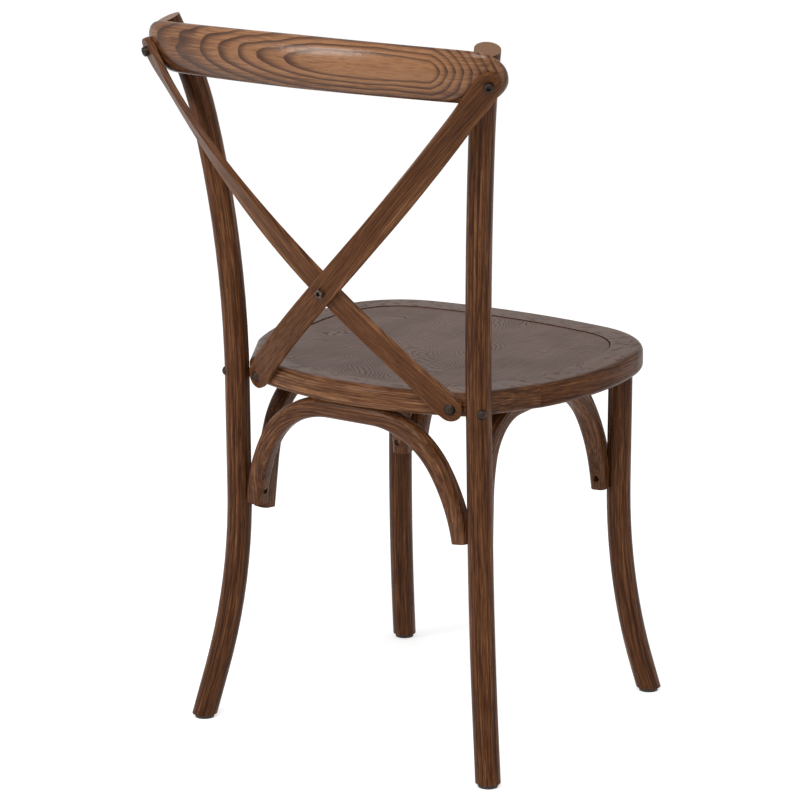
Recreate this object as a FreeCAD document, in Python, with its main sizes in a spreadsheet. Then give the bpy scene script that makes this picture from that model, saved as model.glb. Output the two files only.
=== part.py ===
import FreeCAD, Part
import math
import os
import Sketcher
from FreeCAD import Placement, Rotation, Vector

# Cross back dining chair in bent and turned hardwood, in millimetres with +Z up.
# The chair faces -Y. The origin lies on the floor, under the middle of the overall depth.
# Left is the sitter's left, on the +X side.

doc = FreeCAD.newDocument("cross_back_chair")
sheet = doc.addObject("Spreadsheet::Sheet", "sizes")

DRIVING_SIZES = [
    ("origin_offset_y", 38.9),
    ("joint_gap", 0.1),
    # rear posts: one round rod each, from the floor to above the crest rail
    ("post_diameter", 30.6),
    ("post_inset_x", 56.9),
    ("post_inset_y", 36.5),
    ("post_lean_in", 0.4),
    ("post_lean_back", 1.2),
    ("post_height", 884),
    ("post_waist_height", 363),
    ("post_bend_height", 437),
    ("post_bend_radius", 1625),
    ("post_top_radius", 455),
    ("post_top_lean", 23.4),
    ("post_tip_straight", 33),
    ("post_top_heading", 44.8),
    # the sabre foot of each post
    ("post_foot_heading", 49.7),
    ("post_foot_radius", 817),
    ("post_foot_lean", 16.3),
    ("post_foot_straight", 68),
    # front legs
    ("leg_diameter", 30.4),
    ("leg_inset_x", 70),
    ("leg_inset_y", 38.6),
    ("leg_foot_heading", -61.4),
    ("leg_foot_radius", 803),
    ("leg_foot_lean", 17.9),
    ("leg_foot_straight", 40),
    ("leg_tenon_diameter", 20),
    ("leg_tenon_length", 18),
    # plastic glides nailed under the feet
    ("glide_diameter", 24),
    ("glide_thickness", 5),
    ("nail_head_diameter", 7),
    ("nail_head_height", 1),
    ("nail_seat_height", 3),
    ("nail_diameter", 3),
    ("nail_length", 18),
    # seat frame and panel
    ("seat_height", 469.7),
    ("seat_slope", 1.88),
    ("seat_thickness", 29.6),
    ("seat_half_width", 238),
    ("seat_widest_y", -34),
    ("seat_side_radius", 313),
    ("seat_front_y", -198.8),
    ("seat_front_radius", 811),
    ("seat_front_corner", 121),
    ("seat_rear_y", 201.5),
    ("seat_rear_radius", 400),
    ("seat_notch_inset", 72),
    ("seat_flare_y", 87),
    ("seat_flare_corner", 10),
    ("seat_edge_round", 8),
    ("rail_width", 92),
    ("border_width", 40),
    ("rear_border_width", 27),
    ("rebate_depth", 9),
    ("panel_gap", 1),
    ("panel_sink", 0.8),
    ("panel_edge_round", 1),
    ("mitre_inset_x", 68),
    ("mitre_inset_y", 67.8),
    ("mitre_heading", -45),
    ("rear_joint_y", 92),
    ("rail_dowel_diameter", 8),
    ("rail_dowel_length", 28),
    ("rail_dowel_depth", 18),
    ("mitre_dowel_inner", -18),
    ("mitre_dowel_outer", 31),
    ("rear_dowel_inset", 66),
    ("rear_dowel_spacing", 30),
    # crest rail
    ("crest_depth", 62),
    ("crest_thickness", 24),
    ("crest_middle_radius", 690),
    ("crest_bend_inset", 69.74),
    ("crest_end_radius", 121),
    ("crest_end_angle", 42.7),
    ("crest_bend_reach", 86.05),
    ("crest_post_drop", 34),
    ("crest_crown", 6),
    ("crest_end_tilt", 24.6),
    ("crest_end_round", 34),
    # cross straps
    ("strap_width", 30.5),
    ("strap_thickness", 8),
    ("strap_edge_round", 1.6),
    ("strap_cross_back", 32.4),
    ("strap_cross_sag", 14.4),
    ("strap_upper_back", 10.3),
    ("strap_upper_sag", 12),
    ("strap_upper_turn", 22.7),
    ("strap_lower_back", 5.3),
    ("strap_lower_rise", 1.7),
    ("strap_lower_turn", 4),
    ("strap_top_angle", 32.5),
    ("strap_seat_inset", 98),
    ("strap_seat_drop", 17.5),
    ("strap_cross_gap", 0.3),
    ("strap_let_in", 0.8),
    # bentwood bows under the seat
    ("bow_thickness", 24),
    ("bow_depth", 22),
    ("bow_corner_round", 7.5),
    ("bow_crown_radius", 107.5),
    ("bow_shoulder_turn", 60),
    ("bow_leg_radius", 220),
    ("bow_leg_turn", 23),
    ("side_bow_crown_radius", 76.5),
    ("side_bow_shoulder_turn", 70),
    ("rear_bow_tip_height", 283),
    ("front_bow_tip_height", 282),
    ("side_bow_tip_height", 274),
    ("bow_let_in", 1),
    ("bow_cope", 1),
    ("side_bow_rear_slant", 36),
    ("side_bow_front_slant", 35),
    ("rear_bow_lean", 12),
    ("side_bow_lean", 7),
    # metal fastenings
    ("bolt_heading", 42),
    ("bolt_height", 447),
    ("bolt_diameter", 6),
    ("bolt_length", 62),
    ("bolt_head_diameter", 12.5),
    ("bolt_head_height", 4.5),
    ("barrel_diameter", 10),
    ("barrel_length", 13),
    ("barrel_reach", 38),
    ("spot_face_depth", 1.3),
    ("strap_screw_diameter", 5),
    ("top_screw_length", 46),
    ("top_head_diameter", 12),
    ("top_head_height", 6),
    ("seat_screw_length", 44),
    ("seat_head_diameter", 14),
    ("seat_head_height", 4),
    ("cross_bolt_diameter", 5),
    ("cross_head_diameter", 11),
    ("cross_head_height", 5),
    ("cross_nut_diameter", 9),
    ("cross_nut_height", 3),
    ("wood_screw_diameter", 4),
    ("wood_screw_head", 8),
    ("wood_screw_head_height", 3),
    ("wood_screw_length", 32),
    ("end_screw_length", 34),
    ("counterbore_depth", 7),
    ("end_screw_rise", 16),
    ("side_screw_rise", 14),
    ("crown_screw_spacing", 30),
    ("bore_overrun", 1),
]

for row, (alias, value) in enumerate(DRIVING_SIZES, start=1):
    sheet.set(f"A{row}", alias)
    sheet.set(f"B{row}", str(value))
    sheet.setAlias(f"B{row}", alias)
doc.recompute()

LEFT, RIGHT = 1, -1
SIDE_NAMES = {LEFT: "left", RIGHT: "right"}
kept_nodes = []
bores = {}


def size(alias):
    return float(sheet.get(alias))


def at(x, y, z):
    """A point given from the middle between the legs, moved to the part's origin."""
    return Vector(x, y - size("origin_offset_y"), z)


def heading(degrees, side=LEFT):
    """Horizontal unit vector, counted from +X towards +Y and mirrored for the right side."""
    angle = math.radians(degrees)
    return Vector(side * math.cos(angle), math.sin(angle), 0)


def keep(obj, label):
    """Name a finished piece of the chair."""
    obj.Label = label
    kept_nodes.append(obj)
    return obj


# Small modelling helpers: bodies with sketches, cutters, drilled holes

def new_body(name):
    return doc.addObject("PartDesign::Body", name)


def origin_plane(body, role):
    return next(f for f in body.Origin.OriginFeatures if f.Role == role)


def add_sketch(body, name, role, geometry, offset=None):
    sketch = body.newObject("Sketcher::SketchObject", name)
    sketch.AttachmentSupport = [(origin_plane(body, role), "")]
    sketch.MapMode = "FlatFace"
    if offset is not None:
        sketch.AttachmentOffset = offset
    sketch.addGeometry(geometry, False)
    return sketch


def line(start, end):
    return Part.LineSegment(Vector(*start, 0), Vector(*end, 0))


def arc(centre, radius, start_degrees, end_degrees):
    circle = Part.Circle(Vector(*centre, 0), Vector(0, 0, 1), radius)
    return Part.ArcOfCircle(circle, math.radians(start_degrees), math.radians(end_degrees))


def add_pipe(body, name, profile, path):
    pipe = body.newObject("PartDesign::AdditivePipe", name)
    pipe.Profile = profile
    pipe.Spine = path
    return pipe


def group(name, shapes):
    """Several cutters used as one."""
    if len(shapes) == 1:
        return shapes[0]
    fused = doc.addObject("Part::MultiFuse", name)
    fused.Shapes = shapes
    return fused


def cut(name, base, tools):
    result = doc.addObject("Part::Cut", name)
    result.Base = base
    result.Tool = group(f"{name}_tools", tools)
    return result


def fuse(name, shapes):
    result = doc.addObject("Part::MultiFuse", name)
    result.Shapes = shapes
    return result


def cylinder(name, radius_rule, height_rule, base, direction):
    rod = doc.addObject("Part::Cylinder", name)
    rod.setExpression("Radius", radius_rule)
    rod.setExpression("Height", height_rule)
    rod.Placement = Placement(base, Rotation(Vector(0, 0, 1), direction))
    return rod


def dome_screw(name, seat, drive, head, shank):
    """A domed head that sits on its seat, with the shank running on along the drive direction.

    head and shank are pairs of sizes: diameter and height, diameter and length.
    """
    width, height = head
    rule = f"((sizes.{width} / 2) ^ 2 + sizes.{height} ^ 2) / (2 * sizes.{height})"
    radius = ((size(width) / 2) ** 2 + size(height) ** 2) / (2 * size(height))
    cap = doc.addObject("Part::Sphere", f"{name}_head")
    cap.setExpression("Radius", rule)
    cap.Angle1 = math.degrees(math.asin((radius - size(height)) / radius))
    turn = Rotation(Vector(0, 0, 1), drive * -1)
    cap.Placement = Placement(seat + drive * (radius - size(height)), turn)
    return fuse(name, [cap, shank_rod(name, seat, drive, shank)])


def capped_screw(name, seat, drive, head, shank):
    """A flat cylindrical head on its seat, with the shank along the drive direction."""
    width, height = head
    cap = cylinder(f"{name}_head", f"sizes.{width} / 2", f"sizes.{height}", seat, drive * -1)
    return fuse(name, [cap, shank_rod(name, seat, drive, shank)])


def shank_rod(name, seat, drive, shank):
    width, length = shank
    return cylinder(f"{name}_shank", f"sizes.{width} / 2", f"sizes.{length}", seat, drive)


def bore(name, pieces, start, drive, width, length_rule):
    """A hole with the joint gap all round, drilled later in each of the named pieces."""
    reach = f"{length_rule} + 2 * sizes.bore_overrun"
    first = start - drive * size("bore_overrun")
    drill = cylinder(name, f"sizes.{width} / 2 + sizes.joint_gap", reach, first, drive)
    for piece in pieces:
        bores.setdefault(piece, []).append(drill)


def sink(name, piece, seat, drive, width, depth):
    """A flat-bottomed recess with the joint gap all round, down to the seat of a head."""
    reach = f"sizes.{depth} + sizes.bore_overrun"
    first = seat - drive * (size(depth) + size("bore_overrun"))
    drill = cylinder(name, f"sizes.{width} / 2 + sizes.joint_gap", reach, first, drive)
    bores.setdefault(piece, []).append(drill)


def compound(label, shapes):
    result = doc.addObject("Part::Compound", label)
    result.Links = shapes
    return keep(result, label)


# Rear posts and front legs: round rods on a path of straight runs and tangent arcs

def foot_sizes(kind):
    """Radius, lean and straight end of the foot of a post or leg."""
    lean = math.radians(size(f"{kind}_foot_lean"))
    return size(f"{kind}_foot_radius"), lean, size(f"{kind}_foot_straight") * math.cos(lean)


def foot_path(kind, top_height):
    """Path in the rod's own plane, from the straight stretch down through the sabre foot."""
    radius, lean, knee = foot_sizes(kind)
    waist = knee + radius * math.sin(lean)
    out = radius * (1 - math.cos(lean))
    below = 2 * size(f"{kind}_diameter") * math.sin(lean)
    toe = (out + (knee + below) * math.tan(lean), -below)
    return [
        line((0, top_height), (0, waist)),
        arc((radius, waist), radius, 180, 180 + math.degrees(lean)),
        line((out, knee), toe),
    ]


def foot_offset(kind):
    """How far the middle of a foot stands out from the rod's straight stretch."""
    radius, lean, knee = foot_sizes(kind)
    out = radius * (1 - math.cos(lean))
    return out + (knee - size("glide_thickness")) * math.tan(lean)


def top_bends():
    """The two angles from the upright between which the post's tighter top bend turns."""
    lean = math.radians(size("post_top_lean"))
    rise = size("post_height") - size("post_bend_height")
    rise -= size("post_top_radius") * math.sin(lean) + size("post_tip_straight") * math.cos(lean)
    return math.asin(rise / (size("post_bend_radius") - size("post_top_radius"))), lean


def top_path(start_height):
    """Path in the post's upper plane: upright, a slack bend, a tighter one and a straight tip."""
    slack, tight = size("post_bend_radius"), size("post_top_radius")
    bend = size("post_bend_height")
    turn, lean = top_bends()
    knee = (slack * (1 - math.cos(turn)), bend + slack * math.sin(turn))
    tight_centre = (knee[0] + tight * math.cos(turn), knee[1] - tight * math.sin(turn))
    neck = (tight_centre[0] - tight * math.cos(lean), tight_centre[1] + tight * math.sin(lean))
    tip = size("post_tip_straight")
    end = (neck[0] + tip * math.sin(lean), neck[1] + tip * math.cos(lean))
    return [
        line((0, start_height), (0, bend)),
        arc((slack, bend), slack, 180 - math.degrees(turn), 180),
        arc(tight_centre, tight, 180 - math.degrees(lean), 180 - math.degrees(turn)),
        line(neck, end),
    ]


def trim_foot(body, name):
    """Saw the foot off level, where the glide begins."""
    slab = doc.addObject("Part::Box", f"{name}_saw")
    slab.setExpression("Length", "sizes.seat_height")
    slab.setExpression("Width", "sizes.seat_height")
    slab.setExpression("Height", "sizes.seat_height")
    half = size("seat_height") / 2
    corner = body.Placement.Base + Vector(-half, -half, size("glide_thickness") - 2 * half)
    slab.Placement = Placement(corner, Rotation())
    return slab


def rod_body(name, kind, base, foot_turn, waist, seam_turn=0, top_turn=None):
    """A rod standing on a base point, its foot bent one way and its top another.

    The seam of the round surface is turned away from the places that get drilled.
    """
    body = new_body(name)
    profile = add_sketch(
        body,
        f"{name}_section",
        "XY_Plane",
        Part.Circle(Vector(0, 0, 0), Vector(0, 0, 1), size(f"{kind}_diameter") / 2),
        Placement(Vector(0, 0, waist), Rotation(Vector(0, 0, 1), seam_turn)),
    )
    index = profile.addConstraint(Sketcher.Constraint("Diameter", 0, size(f"{kind}_diameter")))
    profile.setExpression(f"Constraints[{index}]", f"sizes.{kind}_diameter")
    lower = add_sketch(body, f"{name}_foot_path", "XZ_Plane", foot_path(kind, waist))
    add_pipe(body, f"{name}_foot", profile, lower)
    if top_turn is not None:
        turn = Placement(Vector(0, 0, 0), Rotation(Vector(0, 1, 0), top_turn))
        upper = add_sketch(body, f"{name}_top_path", "XZ_Plane", top_path(waist), turn)
        add_pipe(body, f"{name}_top", profile, upper)
    body.Placement = Placement(base, Rotation(Vector(0, 0, 1), foot_turn))
    return body


def post_direction(side):
    """Unit vector up the straight stretch of a post, which leans in and back a little."""
    inward = math.tan(math.radians(size("post_lean_in")))
    back = math.tan(math.radians(size("post_lean_back")))
    return Vector(-side * inward, back, 1).normalize()


def post_point(side, height):
    """The middle of a post's straight stretch, run on to any height."""
    direction = post_direction(side)
    x = size("seat_half_width") - size("post_inset_x")
    foot = at(side * x, size("seat_rear_y") - size("post_inset_y"), 0)
    return foot + direction * (height / direction.z)


def leg_plan():
    """Middle of the left front leg on the seat's plan."""
    x = size("seat_half_width") - size("leg_inset_x")
    return x, size("seat_front_y") + size("leg_inset_y")


def leg_point(side, height):
    x, y = leg_plan()
    return at(side * x, y, height)


def post_body(side):
    foot_turn = size("post_foot_heading")
    top_turn = side * (size("post_top_heading") - foot_turn)
    name = f"post_blank_{SIDE_NAMES[side]}"
    facing = foot_turn if side == LEFT else 180 - foot_turn
    waist = size("post_waist_height")
    base = post_point(side, 0)
    body = rod_body(name, "post", base, facing, waist, -90 * side, top_turn)
    lean = Rotation(Vector(0, 0, 1), post_direction(side))
    body.Placement = Placement(base, lean.multiply(body.Placement.Rotation))
    return body


def leg_body(side):
    foot_turn = size("leg_foot_heading")
    name = f"leg_blank_{SIDE_NAMES[side]}"
    facing = foot_turn if side == LEFT else 180 - foot_turn
    return rod_body(name, "leg", leg_point(side, 0), facing, size("seat_height"))


post_blanks = {side: post_body(side) for side in (LEFT, RIGHT)}
leg_blanks = {side: leg_body(side) for side in (LEFT, RIGHT)}


# Seat: an outline of arcs, drawn again further in for the rebate, the panel and the opening

def on_circle(centre, radius, x=None, y=None, sign=1):
    """The circle's point at a given x, or at a given y, on the chosen half."""
    if y is None:
        return (x, centre[1] + sign * math.sqrt(radius ** 2 - (x - centre[0]) ** 2))
    return (centre[0] + sign * math.sqrt(radius ** 2 - (y - centre[1]) ** 2), y)


def line_meets_circle(start, end, centre, radius, far):
    """Where the line from start through end meets the circle, at the nearer or farther point."""
    dx, dy = end[0] - start[0], end[1] - start[1]
    fx, fy = start[0] - centre[0], start[1] - centre[1]
    a, b, c = dx * dx + dy * dy, fx * dx + fy * dy, fx * fx + fy * fy - radius ** 2
    root = math.sqrt(b * b - a * c)
    share = (-b + root) / a if far else (-b - root) / a
    return (start[0] + share * dx, start[1] + share * dy)


def circles_meet(centre_a, radius_a, centre_b, radius_b, side):
    """The crossing of two circles on the chosen side of the line between their centres."""
    dx, dy = centre_b[0] - centre_a[0], centre_b[1] - centre_a[1]
    span = math.hypot(dx, dy)
    along = (radius_a ** 2 - radius_b ** 2 + span ** 2) / (2 * span)
    across = side * math.sqrt(radius_a ** 2 - along ** 2)
    x = centre_a[0] + along * dx / span - across * dy / span
    y = centre_a[1] + along * dy / span + across * dx / span
    return (x, y)


def mirrored(point):
    return (-point[0], point[1])


def degrees_from(centre, point):
    return math.degrees(math.atan2(point[1] - centre[1], point[0] - centre[0])) % 360


def seat_corners(inset, rear_inset):
    """Centres, radii and left-hand corners of the seat's outline, drawn in by the insets."""
    rear = (0, size("seat_rear_y") - size("seat_rear_radius"))
    front = (0, size("seat_front_y") + size("seat_front_radius"))
    flank = (size("seat_half_width") - size("seat_side_radius"), size("seat_widest_y"))
    notch_x = size("seat_half_width") - size("seat_notch_inset")
    notch = on_circle(rear, size("seat_rear_radius"), x=notch_x)
    flare = on_circle(flank, size("seat_side_radius"), y=size("seat_flare_y"))
    run = math.hypot(flare[0] - notch[0], flare[1] - notch[1])
    inward = ((flare[1] - notch[1]) / run, (notch[0] - flare[0]) / run)
    start = (notch[0] + inset * inward[0], notch[1] + inset * inward[1])
    end = (flare[0] + inset * inward[0], flare[1] + inset * inward[1])
    radii = {
        "rear": size("seat_rear_radius") - rear_inset,
        "front": size("seat_front_radius") - inset,
        "flank": size("seat_side_radius") - inset,
    }
    centres = {"rear": rear, "front": front, "flank": flank}
    corners = {
        "notch": line_meets_circle(end, start, rear, radii["rear"], True),
        "flare": line_meets_circle(start, end, flank, radii["flank"], True),
        "front": circles_meet(flank, radii["flank"], front, radii["front"], -1),
    }
    return centres, radii, corners


def seat_outline(inset, rear_inset):
    centres, radii, corners = seat_corners(inset, rear_inset)

    def rim(name, centre, start, end):
        return arc(centre, radii[name], degrees_from(centre, start), degrees_from(centre, end))

    notch, flare, front = corners["notch"], corners["flare"], corners["front"]
    left_flank = centres["flank"]
    right_flank = mirrored(left_flank)
    return [
        rim("rear", centres["rear"], notch, mirrored(notch)),
        line(mirrored(notch), mirrored(flare)),
        rim("flank", right_flank, mirrored(flare), mirrored(front)),
        rim("front", centres["front"], mirrored(front), front),
        rim("flank", left_flank, front, flare),
        line(flare, notch),
    ]


def upright_edges(shape, corner):
    """Names of the upright edges above a corner of the outline and above its mirror image."""
    names = []
    for number, edge in enumerate(shape.Edges, start=1):
        ends = [vertex.Point for vertex in edge.Vertexes]
        if len(ends) == 2 and abs(ends[0].z - ends[1].z) > 1:
            if math.hypot(abs(ends[0].x) - corner[0], ends[0].y - corner[1]) < 0.01:
                names.append(f"Edge{number}")
    return names


def level_edges(shape, height):
    """Names of the edges that lie level at a height."""
    names = []
    for number, edge in enumerate(shape.Edges, start=1):
        box = edge.BoundBox
        if abs(box.ZMin - height) + abs(box.ZMax - height) < 0.01:
            names.append(f"Edge{number}")
    return names


SEAT_PLACEMENT = Placement(
    at(0, 0, size("seat_height")),
    Rotation(Vector(1, 0, 0), -size("seat_slope")),
)


def seat_slab(name, insets, depth, thickness_rule):
    """A slab of the seat's outline drawn in by the insets, its top that depth under the seat's."""
    inset = insets[0]
    body = new_body(name)
    level = Placement(Vector(0, 0, -depth), Rotation())
    sketch = add_sketch(body, f"{name}_outline", "XY_Plane", seat_outline(*insets), level)
    pad = body.newObject("PartDesign::Pad", f"{name}_pad")
    pad.Profile = sketch
    pad.setExpression("Length", thickness_rule)
    pad.Reversed = True
    doc.recompute()
    corners = seat_corners(*insets)[2]
    smallest = size("seat_edge_round") + 1
    roundings = {
        "notch": smallest,
        "flare": max(size("seat_flare_corner") - inset, smallest),
        "front": max(size("seat_front_corner") - inset, smallest),
    }
    feature = pad
    for corner, radius in roundings.items():
        rounding = body.newObject("PartDesign::Fillet", f"{name}_{corner}_round")
        rounding.Base = (feature, upright_edges(feature.Shape, corners[corner]))
        rounding.Radius = radius
        doc.recompute()
        feature = rounding
    body.Placement = SEAT_PLACEMENT
    return body


def outer_seat_blank():
    """The seat as one slab, its long edges rounded above and below."""
    body = seat_slab("seat_blank", (0, 0), 0, "sizes.seat_thickness")
    slab = body.Tip
    rims = level_edges(slab.Shape, 0) + level_edges(slab.Shape, -size("seat_thickness"))
    rounding = body.newObject("PartDesign::Fillet", "seat_blank_edges")
    rounding.Base = (slab, rims)
    rounding.setExpression("Radius", "sizes.seat_edge_round")
    return body


def panel_blank():
    """The panel lies in the rebate with a small gap all round, a little under the border."""
    gap = size("panel_gap")
    insets = (size("border_width") + gap, size("rear_border_width") + gap)
    thickness = "sizes.rebate_depth - sizes.panel_sink"
    body = seat_slab("seat_panel_body", insets, size("panel_sink"), thickness)
    slab = body.Tip
    rounding = body.newObject("PartDesign::Fillet", "seat_panel_edges")
    rounding.Base = (slab, level_edges(slab.Shape, -size("panel_sink")))
    rounding.setExpression("Radius", "sizes.panel_edge_round")
    return body


def seat_point(x, y, depth):
    """A point given on the seat's own sloping plan, that far under its top."""
    return SEAT_PLACEMENT.multVec(Vector(x, y, -depth))


def seat_direction(x, y, z):
    return SEAT_PLACEMENT.Rotation.multVec(Vector(x, y, z))


def seat_block(name, corner, lengths):
    """A block in the seat's frame, from one corner."""
    block = doc.addObject("Part::Box", name)
    block.Length, block.Width, block.Height = lengths
    block.Placement = SEAT_PLACEMENT.multiply(Placement(Vector(*corner), Rotation()))
    return block


def mitre():
    """A point on the left mitre, and its direction, both on the seat's plan."""
    angle = math.radians(size("mitre_heading"))
    point = (size("seat_half_width") - size("mitre_inset_x"), size("seat_front_y") + size("mitre_inset_y"))
    return point, (math.cos(angle), math.sin(angle))


def front_wedge():
    """The part of the plan in front of the two mitres, which meet on the middle line."""
    point, along = mitre()
    apex = (0, point[1] - point[0] * along[1] / along[0])
    reach = 2 * size("seat_half_width")
    left = (reach * along[0], apex[1] + reach * along[1])
    body = new_body("front_wedge")
    triangle = [line(apex, mirrored(left)), line(mirrored(left), left), line(left, apex)]
    sketch = add_sketch(body, "front_wedge_plan", "XY_Plane", triangle)
    pad = body.newObject("PartDesign::Pad", "front_wedge_pad")
    pad.Profile = sketch
    pad.setExpression("Length", "2 * sizes.seat_thickness")
    pad.Reversed = True
    body.Placement = SEAT_PLACEMENT
    return body


def common(name, shapes):
    result = doc.addObject("Part::MultiCommon", name)
    result.Shapes = shapes
    return result


def seat_frame():
    """The rebated frame, sawn into front, rear and two side rails."""
    borders = (size("border_width"), size("rear_border_width"))
    rails = (size("rail_width"), size("rail_width"))
    rebate = seat_slab("seat_rebate", borders, 0, "sizes.rebate_depth")
    opening = seat_slab("seat_opening", rails, 0, "sizes.seat_thickness")
    frame = cut("seat_frame", outer_seat_blank(), [rebate, opening])
    reach = 2 * size("seat_half_width")
    thick = 2 * size("seat_thickness")
    rear = seat_block("rear_part", (-reach, size("rear_joint_y"), -thick), (2 * reach, reach, 2 * thick))
    wedge = front_wedge()
    sides = cut("seat_sides", frame, [rear, wedge])
    halves = {
        LEFT: seat_block("left_part", (0, -reach, -thick), (reach, 2 * reach, 2 * thick)),
        RIGHT: seat_block("right_part", (-reach, -reach, -thick), (reach, 2 * reach, 2 * thick)),
    }
    blanks = {"front_rail": common("front_rail_blank", [frame, wedge])}
    blanks["rear_rail"] = common("rear_rail_blank", [frame, rear])
    for side, half in halves.items():
        name = f"side_rail_{SIDE_NAMES[side]}"
        blanks[name] = common(f"{name}_blank", [sides, half])
    return blanks


def rail_dowels():
    """Two dowels across each of the four joints, halfway up the rails."""
    mitre_point, along = mitre()
    rear_x = size("seat_half_width") - size("rear_dowel_inset")
    dowels = []
    depth = size("rail_dowel_depth")
    half = size("rail_dowel_length") / 2
    for side in (LEFT, RIGHT):
        rail = f"side_rail_{SIDE_NAMES[side]}"
        spots = []
        for offset in (size("mitre_dowel_inner"), size("mitre_dowel_outer")):
            x = mitre_point[0] + offset * along[0]
            y = mitre_point[1] + offset * along[1]
            spots.append((x, y, -along[1], along[0], "front_rail"))
        for shift in (-0.5, 0.5):
            x = rear_x + shift * size("rear_dowel_spacing")
            spots.append((x, size("rear_joint_y"), 0, 1, "rear_rail"))
        for number, (x, y, run_x, run_y, other) in enumerate(spots, start=1):
            name = f"rail_dowel_{SIDE_NAMES[side]}_{number}"
            start = seat_point(side * (x - half * run_x), y - half * run_y, depth)
            drive = seat_direction(side * run_x, run_y, 0)
            length = "sizes.rail_dowel_length"
            dowels.append(cylinder(name, "sizes.rail_dowel_diameter / 2", length, start, drive))
            bore(f"{name}_hole", [rail, other], start, drive, "rail_dowel_diameter", length)
    return compound("seat_rail_dowels", dowels)


# Crest rail: elliptical sections along a flat middle arc that tightens at both ends

def post_top_y(height):
    """Depth of a post's middle at a height on its straight tip, in the part's own frame."""
    lean = top_bends()[1]
    end_x = top_path(0)[-1].EndPoint.x
    out = end_x - (size("post_height") - height) * math.tan(lean)
    return post_point(LEFT, height).y + out * math.sin(math.radians(size("post_top_heading")))


def crest_bend():
    """Angle at which the rail's tighter end bend begins, and the depth of that bend's centre."""
    inner = size("crest_middle_radius") - size("crest_end_radius")
    middle = math.asin((size("seat_half_width") - size("crest_bend_inset")) / inner)
    end_height = size("post_height") - size("crest_post_drop")
    return middle, post_top_y(end_height) - size("crest_bend_reach")


def crest_length():
    """From the middle of the rail to the tip, along its centre line."""
    middle = crest_bend()[0]
    turn = math.radians(size("crest_end_angle")) - middle
    return size("crest_middle_radius") * middle + size("crest_end_radius") * turn


def crest_station(angle):
    """Distance along the centre line at which the rail has turned by that many degrees."""
    middle = crest_bend()[0]
    turn = math.radians(angle)
    if turn <= middle:
        return size("crest_middle_radius") * turn
    return size("crest_middle_radius") * middle + size("crest_end_radius") * (turn - middle)


def crest_frame(station):
    """Centre, outward normal and upward direction of the rail's section at a station."""
    side = -1 if station < 0 else 1
    run = abs(station)
    middle, bend_y = crest_bend()
    flat_run = size("crest_middle_radius") * middle
    inner = size("crest_middle_radius") - size("crest_end_radius")
    end_height = size("post_height") - size("crest_post_drop")
    centre_y = bend_y - inner * math.cos(middle)
    if run <= flat_run:
        turn = run / size("crest_middle_radius")
        x = size("crest_middle_radius") * math.sin(turn)
        y = centre_y + size("crest_middle_radius") * math.cos(turn)
    else:
        turn = middle + (run - flat_run) / size("crest_end_radius")
        x = inner * math.sin(middle) + size("crest_end_radius") * math.sin(turn)
        y = bend_y + size("crest_end_radius") * math.cos(turn)
    z = end_height + size("crest_crown") * (1 - (run / crest_length()) ** 2)
    tilt = math.radians(size("crest_end_tilt")) * math.degrees(turn) / size("crest_end_angle")
    normal = Vector(
        side * math.sin(turn) * math.cos(tilt),
        math.cos(turn) * math.cos(tilt),
        -math.sin(tilt),
    )
    tangent = Vector(math.cos(turn), -side * math.sin(turn), 0)
    return Vector(side * x, y, z), normal, tangent.cross(normal)


CREST_MIDDLE_STEPS = 4
CREST_END_ANGLES = (0, 20, 40, 58, 70, 79)


def crest_blank():
    """The steam-bent rail before it is fitted: one loft through ellipses, rounded off at the tips."""
    full = crest_length()
    round_run = size("crest_end_round")
    flat_run = size("crest_middle_radius") * crest_bend()[0]
    stations = [(flat_run * step / CREST_MIDDLE_STEPS, 1) for step in range(CREST_MIDDLE_STEPS + 1)]
    for degrees in CREST_END_ANGLES:
        angle = math.radians(degrees)
        stations.append((full - round_run + round_run * math.sin(angle), math.cos(angle)))
    both = [(-run, share) for run, share in reversed(stations[1:])] + stations
    sections = []
    for number, (station, share) in enumerate(both):
        point, normal, upward = crest_frame(station)
        ellipse = doc.addObject("Part::Ellipse", f"crest_section_{number}")
        ellipse.setExpression("MajorRadius", f"sizes.crest_depth / 2 * {share:.5f}")
        ellipse.setExpression("MinorRadius", f"sizes.crest_thickness / 2 * {math.sqrt(share):.5f}")
        ellipse.Placement = Placement(point, Rotation(upward, normal, upward.cross(normal), "XYZ"))
        sections.append(ellipse)
    loft = doc.addObject("Part::Loft", "crest_blank")
    loft.Sections = sections
    loft.Solid = True
    return loft


# Cross straps: thin bent slats from the seat's rear edge to the back of the crest rail

def through(xs, values, x):
    """Value at x of the polynomial through the given points."""
    total = values[0] * 0
    for i, value in enumerate(values):
        weight = 1
        for j, other in enumerate(xs):
            if j != i:
                weight *= (x - other) / (xs[i] - other)
        total += value * weight
    return total


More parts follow.
